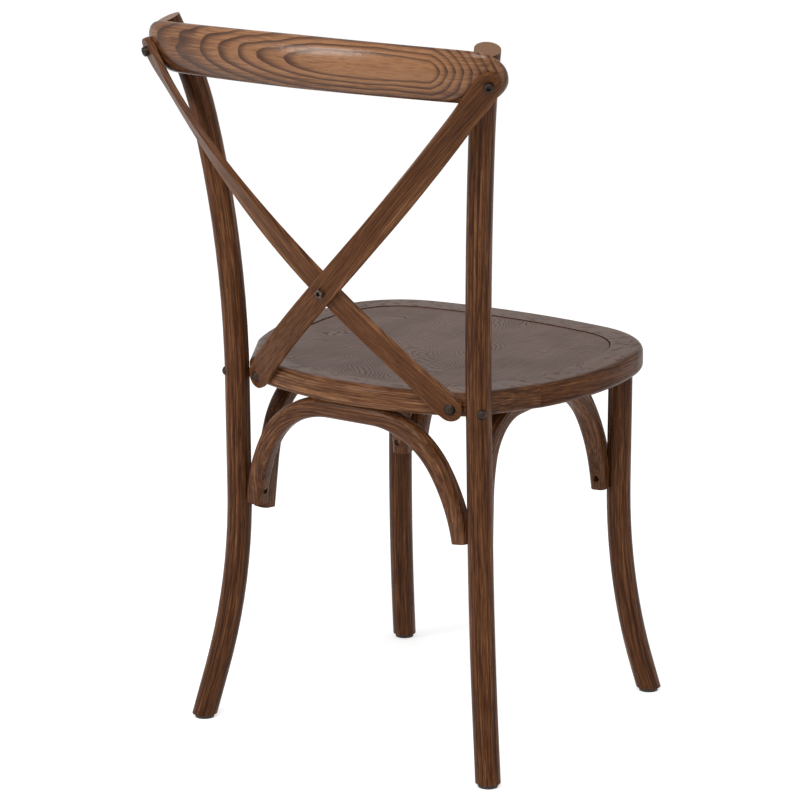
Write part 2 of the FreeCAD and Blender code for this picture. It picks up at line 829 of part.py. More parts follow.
class StrapCurve:
    """Centre line of a strap, with the direction and the normal of the wood at each x.

    The outer strap is layer 0. The inner one, layer 1, passes in front of it at the crossing.
    """

    def __init__(self, side, layer):
        self.side = side
        surface, normal, _ = crest_frame(-crest_station(size("strap_top_angle")))
        stand_off = (size("crest_thickness") + size("strap_thickness")) / 2 - size("strap_let_in")
        top = surface + normal * stand_off
        seat_x = size("seat_half_width") - size("strap_seat_inset")
        lean = math.asin(seat_x / size("seat_rear_radius"))
        centre_y = size("seat_rear_y") - size("seat_rear_radius")
        edge_y = centre_y + size("seat_rear_radius") * math.cos(lean)
        edge = seat_point(seat_x, edge_y, size("strap_seat_drop"))
        outward = seat_direction(math.sin(lean), math.cos(lean), 0)
        seat = edge + outward * (size("strap_thickness") / 2 + size("joint_gap"))
        step = Vector(0, (size("strap_thickness") + size("strap_cross_gap")) * layer, 0)
        share = top.x / (top.x - seat.x)
        crossing = top + (seat - top) * share - step
        crossing += Vector(0, size("strap_cross_back"), -size("strap_cross_sag"))
        upper = (top + crossing) * 0.5
        upper += Vector(0, size("strap_upper_back"), -size("strap_upper_sag"))
        lower = (crossing + seat) * 0.5
        lower += Vector(0, size("strap_lower_back"), size("strap_lower_rise"))
        self.points = [top, upper, crossing, lower, seat]
        self.xs = [point.x for point in self.points]
        top_turn = -math.degrees(math.atan2(-normal.x, normal.y))
        turns = [top_turn, -size("strap_upper_turn"), 0, size("strap_lower_turn"), math.degrees(lean)]
        self.turns = turns

    def frame(self, x):
        point = through(self.xs, self.points, x)
        along = through(self.xs, self.points, x + 1) - through(self.xs, self.points, x - 1)
        along.normalize()
        turn = math.radians(through(self.xs, self.turns, x))
        level = Vector(math.sin(turn), math.cos(turn), 0)
        normal = level - Vector(0, 0, 1) * (level.dot(along) / along.z)
        normal.normalize()
        return self.mirror(point), self.mirror(along), self.mirror(normal)

    def mirror(self, vector):
        return Vector(self.side * vector.x, vector.y, vector.z)


def rounded_wire(centre, across, through, width, thickness, corner):
    """Closed rounded rectangle around a centre, width along across, thickness along through."""
    half_w, half_t = width / 2 - corner, thickness / 2 - corner
    corners = [(1, 1), (-1, 1), (-1, -1), (1, -1)]
    edges = []
    for number, (u, v) in enumerate(corners):
        pivot = centre + across * (u * half_w) + through * (v * half_t)
        side_point = pivot + across * (u * corner)
        face_point = pivot + through * (v * corner)
        first, last = (side_point, face_point) if u * v > 0 else (face_point, side_point)
        bulge = pivot + (across * u + through * v) * (corner * math.sqrt(0.5))
        if edges:
            edges.append(Part.makeLine(previous, first))
        else:
            start = first
        edges.append(Part.Arc(first, bulge, last).toShape())
        previous = last
    edges.append(Part.makeLine(previous, start))
    return Part.Wire(edges)


STRAP_STEPS = 14
STRAP_END_ANGLES = (25, 45, 62, 74, 82)


def strap_blank(name, curve):
    width, thickness = size("strap_width"), size("strap_thickness")
    radius = width / 2
    wires = []

    def add(point, along, normal, share):
        across = normal.cross(along)
        corner = size("strap_edge_round")
        wires.append(rounded_wire(point, across, normal, width * share, thickness, corner))

    for angle in reversed(STRAP_END_ANGLES):
        point, along, normal = curve.frame(curve.xs[0])
        turn = math.radians(angle)
        add(point - along * (radius * math.sin(turn)), along, normal, math.cos(turn))
    for step in range(STRAP_STEPS + 1):
        x = curve.xs[0] + (curve.xs[-1] - curve.xs[0]) * step / STRAP_STEPS
        add(*curve.frame(x), 1)
    for angle in STRAP_END_ANGLES:
        point, along, normal = curve.frame(curve.xs[-1])
        turn = math.radians(angle)
        add(point + along * (radius * math.sin(turn)), along, normal, math.cos(turn))
    strap = doc.addObject("Part::Feature", name)
    strap.Shape = Part.makeLoft(wires, True, False)
    return strap


# Bows: square-section bentwood arches that brace the legs under the seat

def half_bow(half_span, drop, crown_radius, shoulder_turn):
    """Half arch outwards from the crown: flat, shoulder arc, leg arc and straight tip."""
    shoulder = math.radians(shoulder_turn)
    end = math.radians(size("bow_shoulder_turn") + size("bow_leg_turn"))
    leg_radius = size("bow_leg_radius")
    wide = crown_radius * math.sin(shoulder) + leg_radius * (math.sin(end) - math.sin(shoulder))
    deep = crown_radius * (1 - math.cos(shoulder))
    deep += leg_radius * (math.cos(shoulder) - math.cos(end))
    tip = (drop - deep) / math.sin(end)
    flat = half_span - wide - tip * math.cos(end)
    shift = crown_radius - leg_radius
    angles = (90 - math.degrees(end), 90 - shoulder_turn, 90)
    knee = (half_span - tip * math.cos(end), -deep)
    leg_centre = (flat + shift * math.sin(shoulder), -crown_radius + shift * math.cos(shoulder))
    return [
        line((0, 0), (flat, 0)),
        arc((flat, -crown_radius), crown_radius, angles[1], angles[2]),
        arc(leg_centre, leg_radius, angles[0], angles[1]),
        line(knee, (half_span, -drop)),
    ]


def mirrored_path(path):
    """The same path on the other side of the upright axis."""
    flipped = []
    for part in path:
        copy = part.copy()
        copy.mirror(Vector(0, 0, 0), Vector(0, 1, 0))
        flipped.append(copy)
    return flipped


def bow_section():
    """Rounded rectangle in the bow's cross plane, upright size first."""
    wide, high, corner = size("bow_depth") / 2, size("bow_thickness") / 2, size("bow_corner_round")
    shapes = []
    for number, (u, v) in enumerate([(1, 1), (-1, 1), (-1, -1), (1, -1)]):
        centre = (u * (wide - corner), v * (high - corner))
        shapes.append(arc(centre, corner, 90 * number, 90 * number + 90))
    shapes.append(line((wide - corner, high), (corner - wide, high)))
    shapes.append(line((-wide, high - corner), (-wide, corner - high)))
    shapes.append(line((corner - wide, -high), (wide - corner, -high)))
    shapes.append(line((wide, corner - high), (wide, high - corner)))
    return shapes


BOW_UPRIGHTS = {
    "rear_bow": ("rear_post_right", "rear_post_left"),
    "front_bow": ("front_leg_right", "front_leg_left"),
    "side_bow_left": ("rear_post_left", "front_leg_left"),
    "side_bow_right": ("rear_post_right", "front_leg_right"),
}


def upright_point(name, height):
    """The middle of the named post or leg at a height."""
    side = LEFT if name.endswith("left") else RIGHT
    return (post_point if name.startswith("rear") else leg_point)(side, height)


def upright_width(name):
    return "post_diameter" if name.startswith("rear") else "leg_diameter"


def tip_height(bow):
    """Height of a bow's sawn ends above the floor."""
    return size("side_bow_tip_height" if bow.startswith("side") else f"{bow}_tip_height")


def bow_tip(bow, upright):
    """Where a tip's middle stands on the plan, so that its flank or corner is coped a little."""
    slant, bearing = 0, 180
    if bow.startswith("side"):
        rear = upright.startswith("rear")
        slant = size("side_bow_rear_slant" if rear else "side_bow_front_slant")
        bearing = -90 - slant if rear else 90 + slant
    angle, corner = math.radians(slant), size("bow_corner_round")
    reach = size(upright_width(upright)) / 2 + corner - size("bow_cope")
    reach += (size("bow_thickness") / 2 - corner) * math.cos(angle)
    reach += (size("bow_depth") / 2 - corner) * math.sin(angle)
    side = LEFT if upright.endswith("left") else RIGHT
    middle = upright_point(upright, tip_height(bow)) + heading(bearing, side) * reach
    return middle.x, middle.y + size("origin_offset_y")


class Bow:
    """Span, depth and place of one bow, with its crown let into the seat's underside.

    The rear bow's crown stands back and the side bows' crowns stand in, so they lean a little.
    """

    def __init__(self, name):
        start, end = (bow_tip(name, upright) for upright in BOW_UPRIGHTS[name])
        run_x, run_y = end[0] - start[0], end[1] - start[1]
        self.name = name
        self.half_span = math.hypot(run_x, run_y) / 2
        lean_x, lean_y = 0, 0
        if name == "rear_bow":
            lean_y = size("rear_bow_lean")
        elif name.startswith("side"):
            lean_x = -math.copysign(size("side_bow_lean"), start[0])
        self.crown_x = (start[0] + end[0]) / 2 + lean_x
        self.crown_y = (start[1] + end[1]) / 2 + lean_y
        crown_depth = size("seat_thickness") + size("bow_thickness") / 2 - size("bow_let_in")
        crown = seat_point(self.crown_x, self.crown_y, crown_depth)
        fall = crown.z - tip_height(name)
        self.drop = math.hypot(fall, lean_x, lean_y)
        turn = math.atan2(run_y, run_x)
        sideways = lean_y * math.cos(turn) - lean_x * math.sin(turn)
        roll = -math.degrees(math.asin(sideways / self.drop))
        pitch = size("seat_slope") * run_y / (2 * self.half_span)
        facing = Rotation(Vector(0, 0, 1), math.degrees(turn))
        facing = facing.multiply(Rotation(Vector(0, 1, 0), pitch))
        facing = facing.multiply(Rotation(Vector(1, 0, 0), roll))
        self.placement = Placement(crown, facing)

    def blank(self):
        """The start half of a side bow, towards the rear, has the tighter shoulder."""
        wide = (size("bow_crown_radius"), size("bow_shoulder_turn"))
        tight = (size("side_bow_crown_radius"), size("side_bow_shoulder_turn"))
        start_shape = tight if self.name.startswith("side") else wide
        body = new_body(f"{self.name}_blank")
        profile = add_sketch(body, f"{self.name}_section", "YZ_Plane", bow_section())
        halves = {
            "end": half_bow(self.half_span, self.drop, *wide),
            "start": mirrored_path(half_bow(self.half_span, self.drop, *start_shape)),
        }
        for half, path in halves.items():
            sketch = add_sketch(body, f"{self.name}_{half}_path", "XZ_Plane", path)
            add_pipe(body, f"{self.name}_{half}", profile, sketch)
        body.Placement = self.placement
        return body

    def tip_face(self, end, rise):
        """Middle of a tip's inner face at a rise above its end, and the way out through the tip."""
        lean = math.radians(90 - size("bow_shoulder_turn") - size("bow_leg_turn"))
        across = self.half_span - rise * math.tan(lean) - size("bow_thickness") / 2
        face = self.placement.multVec(Vector(end * across, 0, rise - self.drop))
        return face, self.placement.Rotation.multVec(Vector(end, 0, 0))

    def crown_point(self, offset, depth):
        """A point beside the middle of the crown, that far under the seat's top."""
        along = self.placement.Rotation.multVec(Vector(1, 0, 0))
        return seat_point(self.crown_x + offset * along.x, self.crown_y + offset * along.y, depth)


def bow_rails(bow):
    """Names of the seat rails that a bow's crown is let into."""
    if bow.startswith("side"):
        return ["front_rail", "rear_rail", bow.replace("bow", "rail")]
    if bow == "rear_bow":
        return ["rear_rail", "side_rail_left", "side_rail_right"]
    return ["front_rail", "side_rail_left", "side_rail_right"]


def bow_blanks():
    """The four bows before drilling; the seat rails are housed to take their crowns."""
    blanks = {}
    for name, bow in bows.items():
        blanks[name] = bow.blank()
        for rail in bow_rails(name):
            bores.setdefault(rail, []).append(blanks[name])
    return blanks


def cope_bows():
    """Hollow the tips of the bows to sit against the round posts and legs."""
    low = size("side_bow_tip_height") - size("bow_thickness")
    for side_name in SIDE_NAMES.values():
        for kind in ("rear_post", "front_leg"):
            name = f"{kind}_{side_name}"
            start = upright_point(name, low)
            drive = (upright_point(name, size("seat_height")) - start).normalize()
            length = "sizes.seat_height - sizes.side_bow_tip_height"
            touching = [bow for bow, uprights in BOW_UPRIGHTS.items() if name in uprights]
            bore(f"{name}_cope", touching, start, drive, upright_width(name), length)


def bow_end_screws():
    """One screw through each tip, driven from inside the arch into the post or leg."""
    screws = []
    for bow_name, bow in bows.items():
        sideways = bow_name.startswith("side")
        rise = size("side_screw_rise" if sideways else "end_screw_rise")
        for end, upright in zip((-1, 1), BOW_UPRIGHTS[bow_name]):
            face, drive = bow.tip_face(end, rise)
            if sideways:
                drive = (upright_point(upright, face.z) - face).normalize()
            name = f"{bow_name}_to_{upright}"
            seat = face + drive * size("counterbore_depth")
            screws.append(capped_screw(
                name, seat, drive,
                ("wood_screw_head", "wood_screw_head_height"),
                ("wood_screw_diameter", "end_screw_length"),
            ))
            sink(f"{name}_counterbore", bow_name, seat, drive, "wood_screw_head", "counterbore_depth")
            length = "sizes.end_screw_length"
            bore(f"{name}_hole", [bow_name, upright], seat, drive, "wood_screw_diameter", length)
    return compound("bow_end_screws", screws)


def bow_seat_screws():
    """Two screws up through each crown into the seat rails."""
    screws = []
    depth = size("seat_thickness") + size("bow_thickness") - size("bow_let_in")
    drive = seat_direction(0, 0, 1)
    for bow_name, bow in bows.items():
        for number, share in enumerate((-0.5, 0.5), start=1):
            offset = share * size("crown_screw_spacing")
            seat = bow.crown_point(offset, depth - size("counterbore_depth"))
            name = f"{bow_name}_crown_screw_{number}"
            screws.append(capped_screw(
                name, seat, drive,
                ("wood_screw_head", "wood_screw_head_height"),
                ("wood_screw_diameter", "wood_screw_length"),
            ))
            sink(f"{name}_counterbore", bow_name, seat, drive, "wood_screw_head", "counterbore_depth")
            pieces = [bow_name] + bow_rails(bow_name)
            length = "sizes.wood_screw_length"
            bore(f"{name}_hole", pieces, seat, drive, "wood_screw_diameter", length)
    return compound("bow_seat_screws", screws)


# Joints between the seat and the four uprights

def leg_tenons():
    """Round tenons on top of the front legs, glued into the seat from below."""
    tenons = {}
    for side, name in SIDE_NAMES.items():
        x, y = leg_plan()
        shoulder = seat_point(side * x, y, size("seat_thickness"))
        length = "sizes.leg_tenon_length"
        up = Vector(0, 0, 1)
        pieces = ["front_rail", f"side_rail_{name}"]
        bore(f"{name}_tenon_hole", pieces, shoulder, up, "leg_tenon_diameter", length)
        overlap = size("bore_overrun")
        radius, height = "sizes.leg_tenon_diameter / 2", f"{length} + sizes.bore_overrun"
        tenons[side] = cylinder(f"{name}_tenon", radius, height, shoulder - up * overlap, up)
    return tenons


def cope_seat():
    """Hollow the seat's rear corners to sit against the round posts."""
    for side, name in SIDE_NAMES.items():
        start = post_point(side, size("post_waist_height"))
        drive = post_direction(side)
        length = "2 * (sizes.seat_height - sizes.post_waist_height)"
        bore(f"{name}_corner_cope", ["rear_rail"], start, drive, "post_diameter", length)


def post_bolts():
    """A domed bolt through each post into a barrel nut hidden in the seat's corner."""
    bolts, nuts = [], []
    for side, name in SIDE_NAMES.items():
        axis = post_point(side, size("bolt_height"))
        drive = heading(size("bolt_heading"), side) * -1
        seat = axis - drive * (size("post_diameter") / 2 - size("spot_face_depth"))
        bolts.append(dome_screw(
            f"{name}_bolt", seat, drive,
            ("bolt_head_diameter", "bolt_head_height"),
            ("bolt_diameter", "bolt_length"),
        ))
        post = f"rear_post_{name}"
        sink(f"{name}_spot_face", post, seat, drive, "bolt_head_diameter", "spot_face_depth")
        length = "sizes.bolt_length"
        bore(f"{name}_bolt_hole", [post, "rear_rail"], seat, drive, "bolt_diameter", length)
        centre = axis + drive * size("barrel_reach")
        foot = centre - Vector(0, 0, size("barrel_length") / 2)
        nut = cylinder(
            f"{name}_nut_round", "sizes.barrel_diameter / 2", "sizes.barrel_length", foot, Vector(0, 0, 1)
        )
        thread = cylinder(
            f"{name}_nut_thread", "sizes.bolt_diameter / 2 + sizes.joint_gap",
            "sizes.bolt_length", seat, drive,
        )
        nuts.append(cut(f"{name}_nut", nut, [thread]))
        mouth = foot - Vector(0, 0, size("barrel_length"))
        reach = "2 * sizes.barrel_length - sizes.bore_overrun"
        bore(f"{name}_nut_hole", ["rear_rail"], mouth, Vector(0, 0, 1), "barrel_diameter", reach)
    compound("post_bolts", bolts)
    compound("post_barrel_nuts", nuts)


# Fastenings of the straps

def strap_name(side):
    return "cross_strap_outer" if side == LEFT else "cross_strap_inner"


def strap_screws():
    """Screws at both ends of each strap, and one bolt with a nut where they cross."""
    top_screws, seat_screws = [], []
    outer_face = size("strap_thickness") / 2
    for side, curve in strap_curves.items():
        strap = strap_name(side)
        point, _, normal = curve.frame(curve.xs[0])
        drive = normal * -1
        seat = point + normal * outer_face
        top_screws.append(capped_screw(
            f"{strap}_top_screw", seat, drive,
            ("top_head_diameter", "top_head_height"),
            ("strap_screw_diameter", "top_screw_length"),
        ))
        post = f"rear_post_{SIDE_NAMES[-side]}"
        pieces = [strap, "crest_rail", post]
        length = "sizes.top_screw_length"
        bore(f"{strap}_top_hole", pieces, seat, drive, "strap_screw_diameter", length)
        point, _, normal = curve.frame(curve.xs[-1])
        drive = normal * -1
        seat = point + normal * outer_face
        seat_screws.append(dome_screw(
            f"{strap}_seat_screw", seat, drive,
            ("seat_head_diameter", "seat_head_height"),
            ("strap_screw_diameter", "seat_screw_length"),
        ))
        length = "sizes.seat_screw_length"
        bore(f"{strap}_seat_hole", [strap, "rear_rail"], seat, drive, "strap_screw_diameter", length)
    compound("strap_top_screws", top_screws)
    compound("strap_seat_screws", seat_screws)


def crossing_bolt():
    """A bolt through both straps where they cross, with a round nut in front."""
    point, _, normal = strap_curves[LEFT].frame(strap_curves[LEFT].xs[2])
    drive = normal * -1
    seat = point + normal * (size("strap_thickness") / 2)
    stack = "2 * sizes.strap_thickness + sizes.strap_cross_gap"
    depth = 2 * size("strap_thickness") + size("strap_cross_gap")
    length = f"{stack} + sizes.cross_nut_height"
    head = cylinder(
        "cross_bolt_head", "sizes.cross_head_diameter / 2", "sizes.cross_head_height", seat, normal
    )
    shank = cylinder("cross_bolt_shank", "sizes.cross_bolt_diameter / 2", length, seat, drive)
    keep(fuse("cross_bolt_solid", [head, shank]), "cross_bolt")
    straps = ["cross_strap_outer", "cross_strap_inner"]
    bore("crossing_hole", straps, seat, drive, "cross_bolt_diameter", stack)
    face = seat + drive * depth
    nut = cylinder("cross_nut_round", "sizes.cross_nut_diameter / 2", "sizes.cross_nut_height", face, drive)
    hole = cylinder(
        "cross_nut_hole", "sizes.cross_bolt_diameter / 2 + sizes.joint_gap", length, seat, drive
    )
    keep(cut("cross_nut_solid", nut, [hole]), "cross_nut")


def strap_facets():
    """Flats on the back of the crest rail where the straps' upper ends lie."""
    facets = []
    width = size("strap_width") + 2 * size("joint_gap")
    for side, curve in strap_curves.items():
        point, along, normal = curve.frame(curve.xs[0])
        across = normal.cross(along)
        face = point - normal * (size("strap_thickness") / 2 + size("joint_gap"))
        corner = face - across * (width / 2) - along * size("crest_depth")
        block = doc.addObject("Part::Box", f"{strap_name(side)}_facet")
        block.Length, block.Width, block.Height = 2 * size("crest_depth"), width, size("crest_thickness")
        block.Placement = Placement(corner, Rotation(along, across, normal, "XYZ"))
        facets.append(block)
    return facets


# Floor glides

def floor_glides():
    """A nailed plastic disc under each of the four feet."""
    glides, nails = [], []
    up = Vector(0, 0, 1)
    for kind, row in (("post", "rear"), ("leg", "front")):
        for side, side_name in SIDE_NAMES.items():
            upright = f"{row}_{kind}_{side_name}"
            out = heading(size(f"{kind}_foot_heading"), side)
            centre = upright_point(upright, 0) + out * foot_offset(kind)
            disc = cylinder(
                f"{upright}_disc", "sizes.glide_diameter / 2", "sizes.glide_thickness", centre, up
            )
            seat = centre + up * size("nail_seat_height")
            nails.append(capped_screw(
                f"{upright}_nail", seat, up,
                ("nail_head_diameter", "nail_head_height"),
                ("nail_diameter", "nail_length"),
            ))
            glide = f"{upright}_glide"
            sink(f"{glide}_recess", glide, seat, up, "nail_head_diameter", "nail_seat_height")
            length = "sizes.nail_length"
            bore(f"{upright}_nail_hole", [glide, upright], seat, up, "nail_diameter", length)
            glides.append(cut(f"{glide}_solid", disc, bores[glide]))
    compound("floor_glides", glides)
    compound("glide_nails", nails)


# Assembly: every blank is drilled and coped once all the fastenings have been placed

seat_rails = seat_frame()
panel = panel_blank()
crest = crest_blank()
strap_curves = {LEFT: StrapCurve(LEFT, 0), RIGHT: StrapCurve(RIGHT, 1)}
strap_blanks = {side: strap_blank(strap_name(side) + "_blank", c) for side, c in strap_curves.items()}
bows = {name: Bow(name) for name in BOW_UPRIGHTS}
bow_solids = bow_blanks()
tenons = leg_tenons()
cope_bows()
cope_seat()
rail_dowels()
post_bolts()
strap_screws()
crossing_bolt()
bow_end_screws()
bow_seat_screws()
floor_glides()

for side, side_name in SIDE_NAMES.items():
    post = post_blanks[side]
    name = f"rear_post_{side_name}"
    keep(cut(f"{name}_solid", post, [trim_foot(post, name), crest] + bores[name]), name)
    leg = leg_blanks[side]
    name = f"front_leg_{side_name}"
    above = seat_block(
        f"{name}_top_saw",
        (-size("seat_half_width"), -2 * size("seat_half_width"), -size("seat_thickness")),
        (2 * size("seat_half_width"), 4 * size("seat_half_width"), 2 * size("seat_thickness")),
    )
    sawn = cut(f"{name}_sawn", leg, [trim_foot(leg, name), above] + bores[name])
    keep(fuse(f"{name}_solid", [sawn, tenons[side]]), name)
    strap = strap_name(side)
    keep(cut(f"{strap}_solid", strap_blanks[side], bores[strap]), strap)
for rail, blank in seat_rails.items():
    label = f"seat_{rail}"
    keep(cut(f"{label}_solid", blank, bores[rail]), label)
for bow, blank in bow_solids.items():
    keep(cut(f"{bow}_solid", blank, bores[bow]), bow)
keep(cut("crest_rail_solid", crest, strap_facets() + bores["crest_rail"]), "crest_rail")
keep(panel, "seat_panel")
doc.recompute()

for obj in doc.Objects:
    if "Invalid" in obj.State or "Error" in obj.State:
        raise RuntimeError(f"{obj.Name} failed: {obj.State}")
for obj in kept_nodes:
    if obj.Shape.isNull() or not obj.Shape.isValid():
        raise RuntimeError(f"{obj.Label} has no valid shape")

os.makedirs("parts", exist_ok=True)
for obj in kept_nodes:
    obj.Shape.exportStep(f"parts/{obj.Label}.step")
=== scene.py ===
import math

import bmesh
import bpy
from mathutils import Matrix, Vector


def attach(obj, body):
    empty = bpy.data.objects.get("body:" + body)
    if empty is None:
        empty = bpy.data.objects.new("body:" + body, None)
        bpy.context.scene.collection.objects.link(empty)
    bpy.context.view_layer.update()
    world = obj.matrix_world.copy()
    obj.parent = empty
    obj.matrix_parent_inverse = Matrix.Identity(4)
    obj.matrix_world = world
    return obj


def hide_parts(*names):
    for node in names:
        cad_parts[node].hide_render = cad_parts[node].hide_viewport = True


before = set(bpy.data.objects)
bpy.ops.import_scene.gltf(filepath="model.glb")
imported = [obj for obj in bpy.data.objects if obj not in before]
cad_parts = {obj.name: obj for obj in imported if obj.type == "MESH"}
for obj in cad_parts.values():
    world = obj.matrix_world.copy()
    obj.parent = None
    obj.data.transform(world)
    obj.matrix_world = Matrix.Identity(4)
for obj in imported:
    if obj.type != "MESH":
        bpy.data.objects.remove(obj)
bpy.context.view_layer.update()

# Rear posts
# Each is one round ash rod, steam bent into a sabre foot and two slack bends from the seat up.
# The brown stain lies dark in the open pores and paler between them, under a satin lacquer.


class Socket:
    """A shader output that takes part in plain arithmetic."""

    def __init__(self, finish, output):
        self.finish = finish
        self.output = output

    def __add__(self, other):
        return self.finish.math("ADD", self, other)

    def __radd__(self, other):
        return self.finish.math("ADD", other, self)

    def __sub__(self, other):
        return self.finish.math("SUBTRACT", self, other)

    def __rsub__(self, other):
        return self.finish.math("SUBTRACT", other, self)

    def __mul__(self, other):
        return self.finish.math("MULTIPLY", self, other)

    def __rmul__(self, other):
        return self.finish.math("MULTIPLY", other, self)

    def __truediv__(self, other):
        return self.finish.math("DIVIDE", self, other)

    def __pow__(self, other):
        return self.finish.math("POWER", self, other)


class Finish:
    """A material in the making, with methods that add its nodes."""

    def __init__(self, name):
        self.material = bpy.data.materials.new(name)
        self.material.use_nodes = True
        self.tree = self.material.node_tree
        self.shader = self.tree.nodes["Principled BSDF"]

    def link(self, value, target):
        if isinstance(value, Socket):
            self.tree.links.new(value.output, target)
        else:
            target.default_value = value

    def node(self, kind, settings, sockets, output=0):
        made = self.tree.nodes.new(kind)
        for key, value in settings.items():
            setattr(made, key, value)
        for key, value in sockets.items():
            self.link(value, made.inputs[key])
        return Socket(self, made.outputs[output])

    def math(self, operation, *values):
        return self.node("ShaderNodeMath", {"operation": operation}, dict(enumerate(values)))

    def larger(self, a, b):
        return self.math("MAXIMUM", a, b)

    def smaller(self, a, b):
        return self.math("MINIMUM", a, b)

    def length(self, a, b):
        return self.math("SQRT", a * a + b * b)

    def position(self):
        """The three coordinates of the chair at rest, in metres."""
        return self.split(self.node("ShaderNodeTexCoord", {}, {}, "Object"))

    def facing_up(self):
        """1 on a level top face, 0 on an upright one."""
        return self.split(self.node("ShaderNodeNewGeometry", {}, {}, "True Normal"))[2]

    def split(self, vector):
        parts = self.tree.nodes.new("ShaderNodeSeparateXYZ")
        self.tree.links.new(vector.output, parts.inputs[0])
        return [Socket(self, output) for output in parts.outputs]

    def vector(self, x, y, z):
        return self.node("ShaderNodeCombineXYZ", {}, {"X": x, "Y": y, "Z": z})

    def noise(self, place, scale, detail=2.0, roughness=0.5):
        sockets = {"Vector": place, "Scale": scale, "Detail": detail, "Roughness": roughness}
        return self.node("ShaderNodeTexNoise", {}, sockets, 0)

    def smooth(self, value, low, high):
        """0 below low, 1 above high, with a soft step between."""
        sockets = {"Value": value, "From Min": low, "From Max": high}
        return self.node("ShaderNodeMapRange", {"interpolation_type": "SMOOTHSTEP"}, sockets)

    def mix(self, factor, first, second):
        sockets = {"Factor": factor, 6: first, 7: second}
        return self.node("ShaderNodeMix", {"data_type": "RGBA"}, sockets, 2)

    def bump(self, height, depth, strength=1.0):
        sockets = {"Height": height, "Distance": depth, "Strength": strength}
        return self.node("ShaderNodeBump", {}, sockets)

    def surface(self, **values):
        for key, value in values.items():
            self.link(value, self.shader.inputs[key.replace("_", " ")])


STAIN_DARK = (0.018, 0.0048, 0.0014, 1.0)
STAIN_DEEP = (0.052, 0.0155, 0.0046, 1.0)
STAIN_MIDDLE = (0.132, 0.0480, 0.0160, 1.0)
STAIN_PALE = (0.310, 0.1420, 0.0620, 1.0)
END_GRAIN = (0.240, 0.1250, 0.0720, 1.0)
LACQUER_ROUGHNESS = 0.38
LACQUER_SPECULAR = 0.08
COAT_ROUGHNESS = 0.20
PORE_DEPTH = 0.00035

# Marks per metre across the grain, from the broadest patches to the finest pores
BLOTCH_SCALE = 9.0
CLOUD_SCALE = 32.0
BREAK_SCALE = 120.0
BAND_SCALE = 230.0
HAIR_SCALE = 760.0
PORE_SCALE = 1150.0

# How much shorter along the grain the coordinates are, which draws each mark out
PATCH_STRETCH = 0.16
FIBRE_STRETCH = 0.030

# Where in each ring the late wood darkens, and where it ends at the next ring
LATE_WOOD_RISE = (0.30, 0.90)
LATE_WOOD_END = (0.93, 1.0)

# How pale plain wood is, from 0 for the deep stain to 1 for the pale one
PLAIN_TONE = 0.36


def stained_ash(finish, across, through, along, rings, look):
    """Colour, pores and satin lacquer of stained ash, from the grain's own three coordinates.

    rings counts the growth rings, and its fractions draw the dark late wood. look gives the
    fineness of the figure and how strong its rings, streaks, pores and sheen are.
    """
    seed, fine = look["seed"], look.get("fine", 1.0)
    stretch = look.get("stretch", FIBRE_STRETCH)
    fibre = finish.vector(across, through, along * stretch + seed)
    drift = finish.vector(across, through, along * PATCH_STRETCH + seed)
    cloud = finish.noise(drift, CLOUD_SCALE, 2.0)
    blotch = finish.noise(drift, BLOTCH_SCALE, 2.0)
    phase = finish.math("FRACT", rings + cloud * look.get("waver", 0.9))
    late = finish.smooth(phase, *LATE_WOOD_RISE) * (1.0 - finish.smooth(phase, *LATE_WOOD_END))
    broken = look.get("broken", 1.0)
    gaps = finish.smooth(finish.noise(fibre, BREAK_SCALE, 1.0), 0.30, 0.62)
    late = late * (1.0 - broken + broken * gaps)
    bands = finish.smooth(finish.noise(fibre, BAND_SCALE * fine, 2.0), 0.36, 0.66)
    hair = finish.smooth(finish.noise(fibre, HAIR_SCALE * fine, 1.0), 0.36, 0.64)
    dashes = finish.vector(across, through, along * 2.0 * stretch + seed)
    pores = finish.smooth(finish.noise(dashes, PORE_SCALE, 1.0), 0.54, 0.64)
    streaks = look.get("streaks", 1.0)
    figure = 0.28 * (bands - 0.5) + 0.42 * (hair - 0.5)
    tone = PLAIN_TONE + look.get("pale", 0.0) + streaks * figure
    tone = tone + look.get("blotch", 0.9) * (blotch - 0.5)
    wood = finish.mix(finish.smooth(tone, 0.0, 0.5), STAIN_DEEP, STAIN_MIDDLE)
    wood = finish.mix(finish.smooth(tone, 0.42, 1.0), wood, STAIN_PALE)
    wood = finish.mix(late * look.get("rings", 0.6), wood, look.get("late_wood", STAIN_DARK))
    wood = finish.mix(pores * look.get("pores", 0.4), wood, STAIN_DARK)
    if "cover" in look:
        mask, colour = look["cover"]
        wood = finish.mix(mask * (0.72 + 0.28 * hair), wood, colour)
    roughness = LACQUER_ROUGHNESS + 0.14 * pores + 0.10 * (blotch - 0.5)
    relief = finish.bump(0.0 - pores - 0.5 * late + 0.25 * bands, PORE_DEPTH, 0.6)
    finish.surface(Base_Color=wood, Roughness=roughness, Normal=relief)
    finish.surface(Coat_Weight=look.get("sheen", 0.05), Coat_Roughness=COAT_ROUGHNESS)
    finish.surface(Specular_IOR_Level=LACQUER_SPECULAR)
    return finish.material


def dress(node, material):
    """Give a piece of the frame its finish."""
    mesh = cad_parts[node].data
    mesh.materials.clear()
    mesh.materials.append(material)


# The rods are sawn beside the tree's heart, so its rings cross them in slight curves
ROD_HEART = (-0.031, 0.018)
ROD_RING_PITCH = 0.0052

# How level a face has to be to count as a sawn end
SAWN_END = (0.80, 0.86)


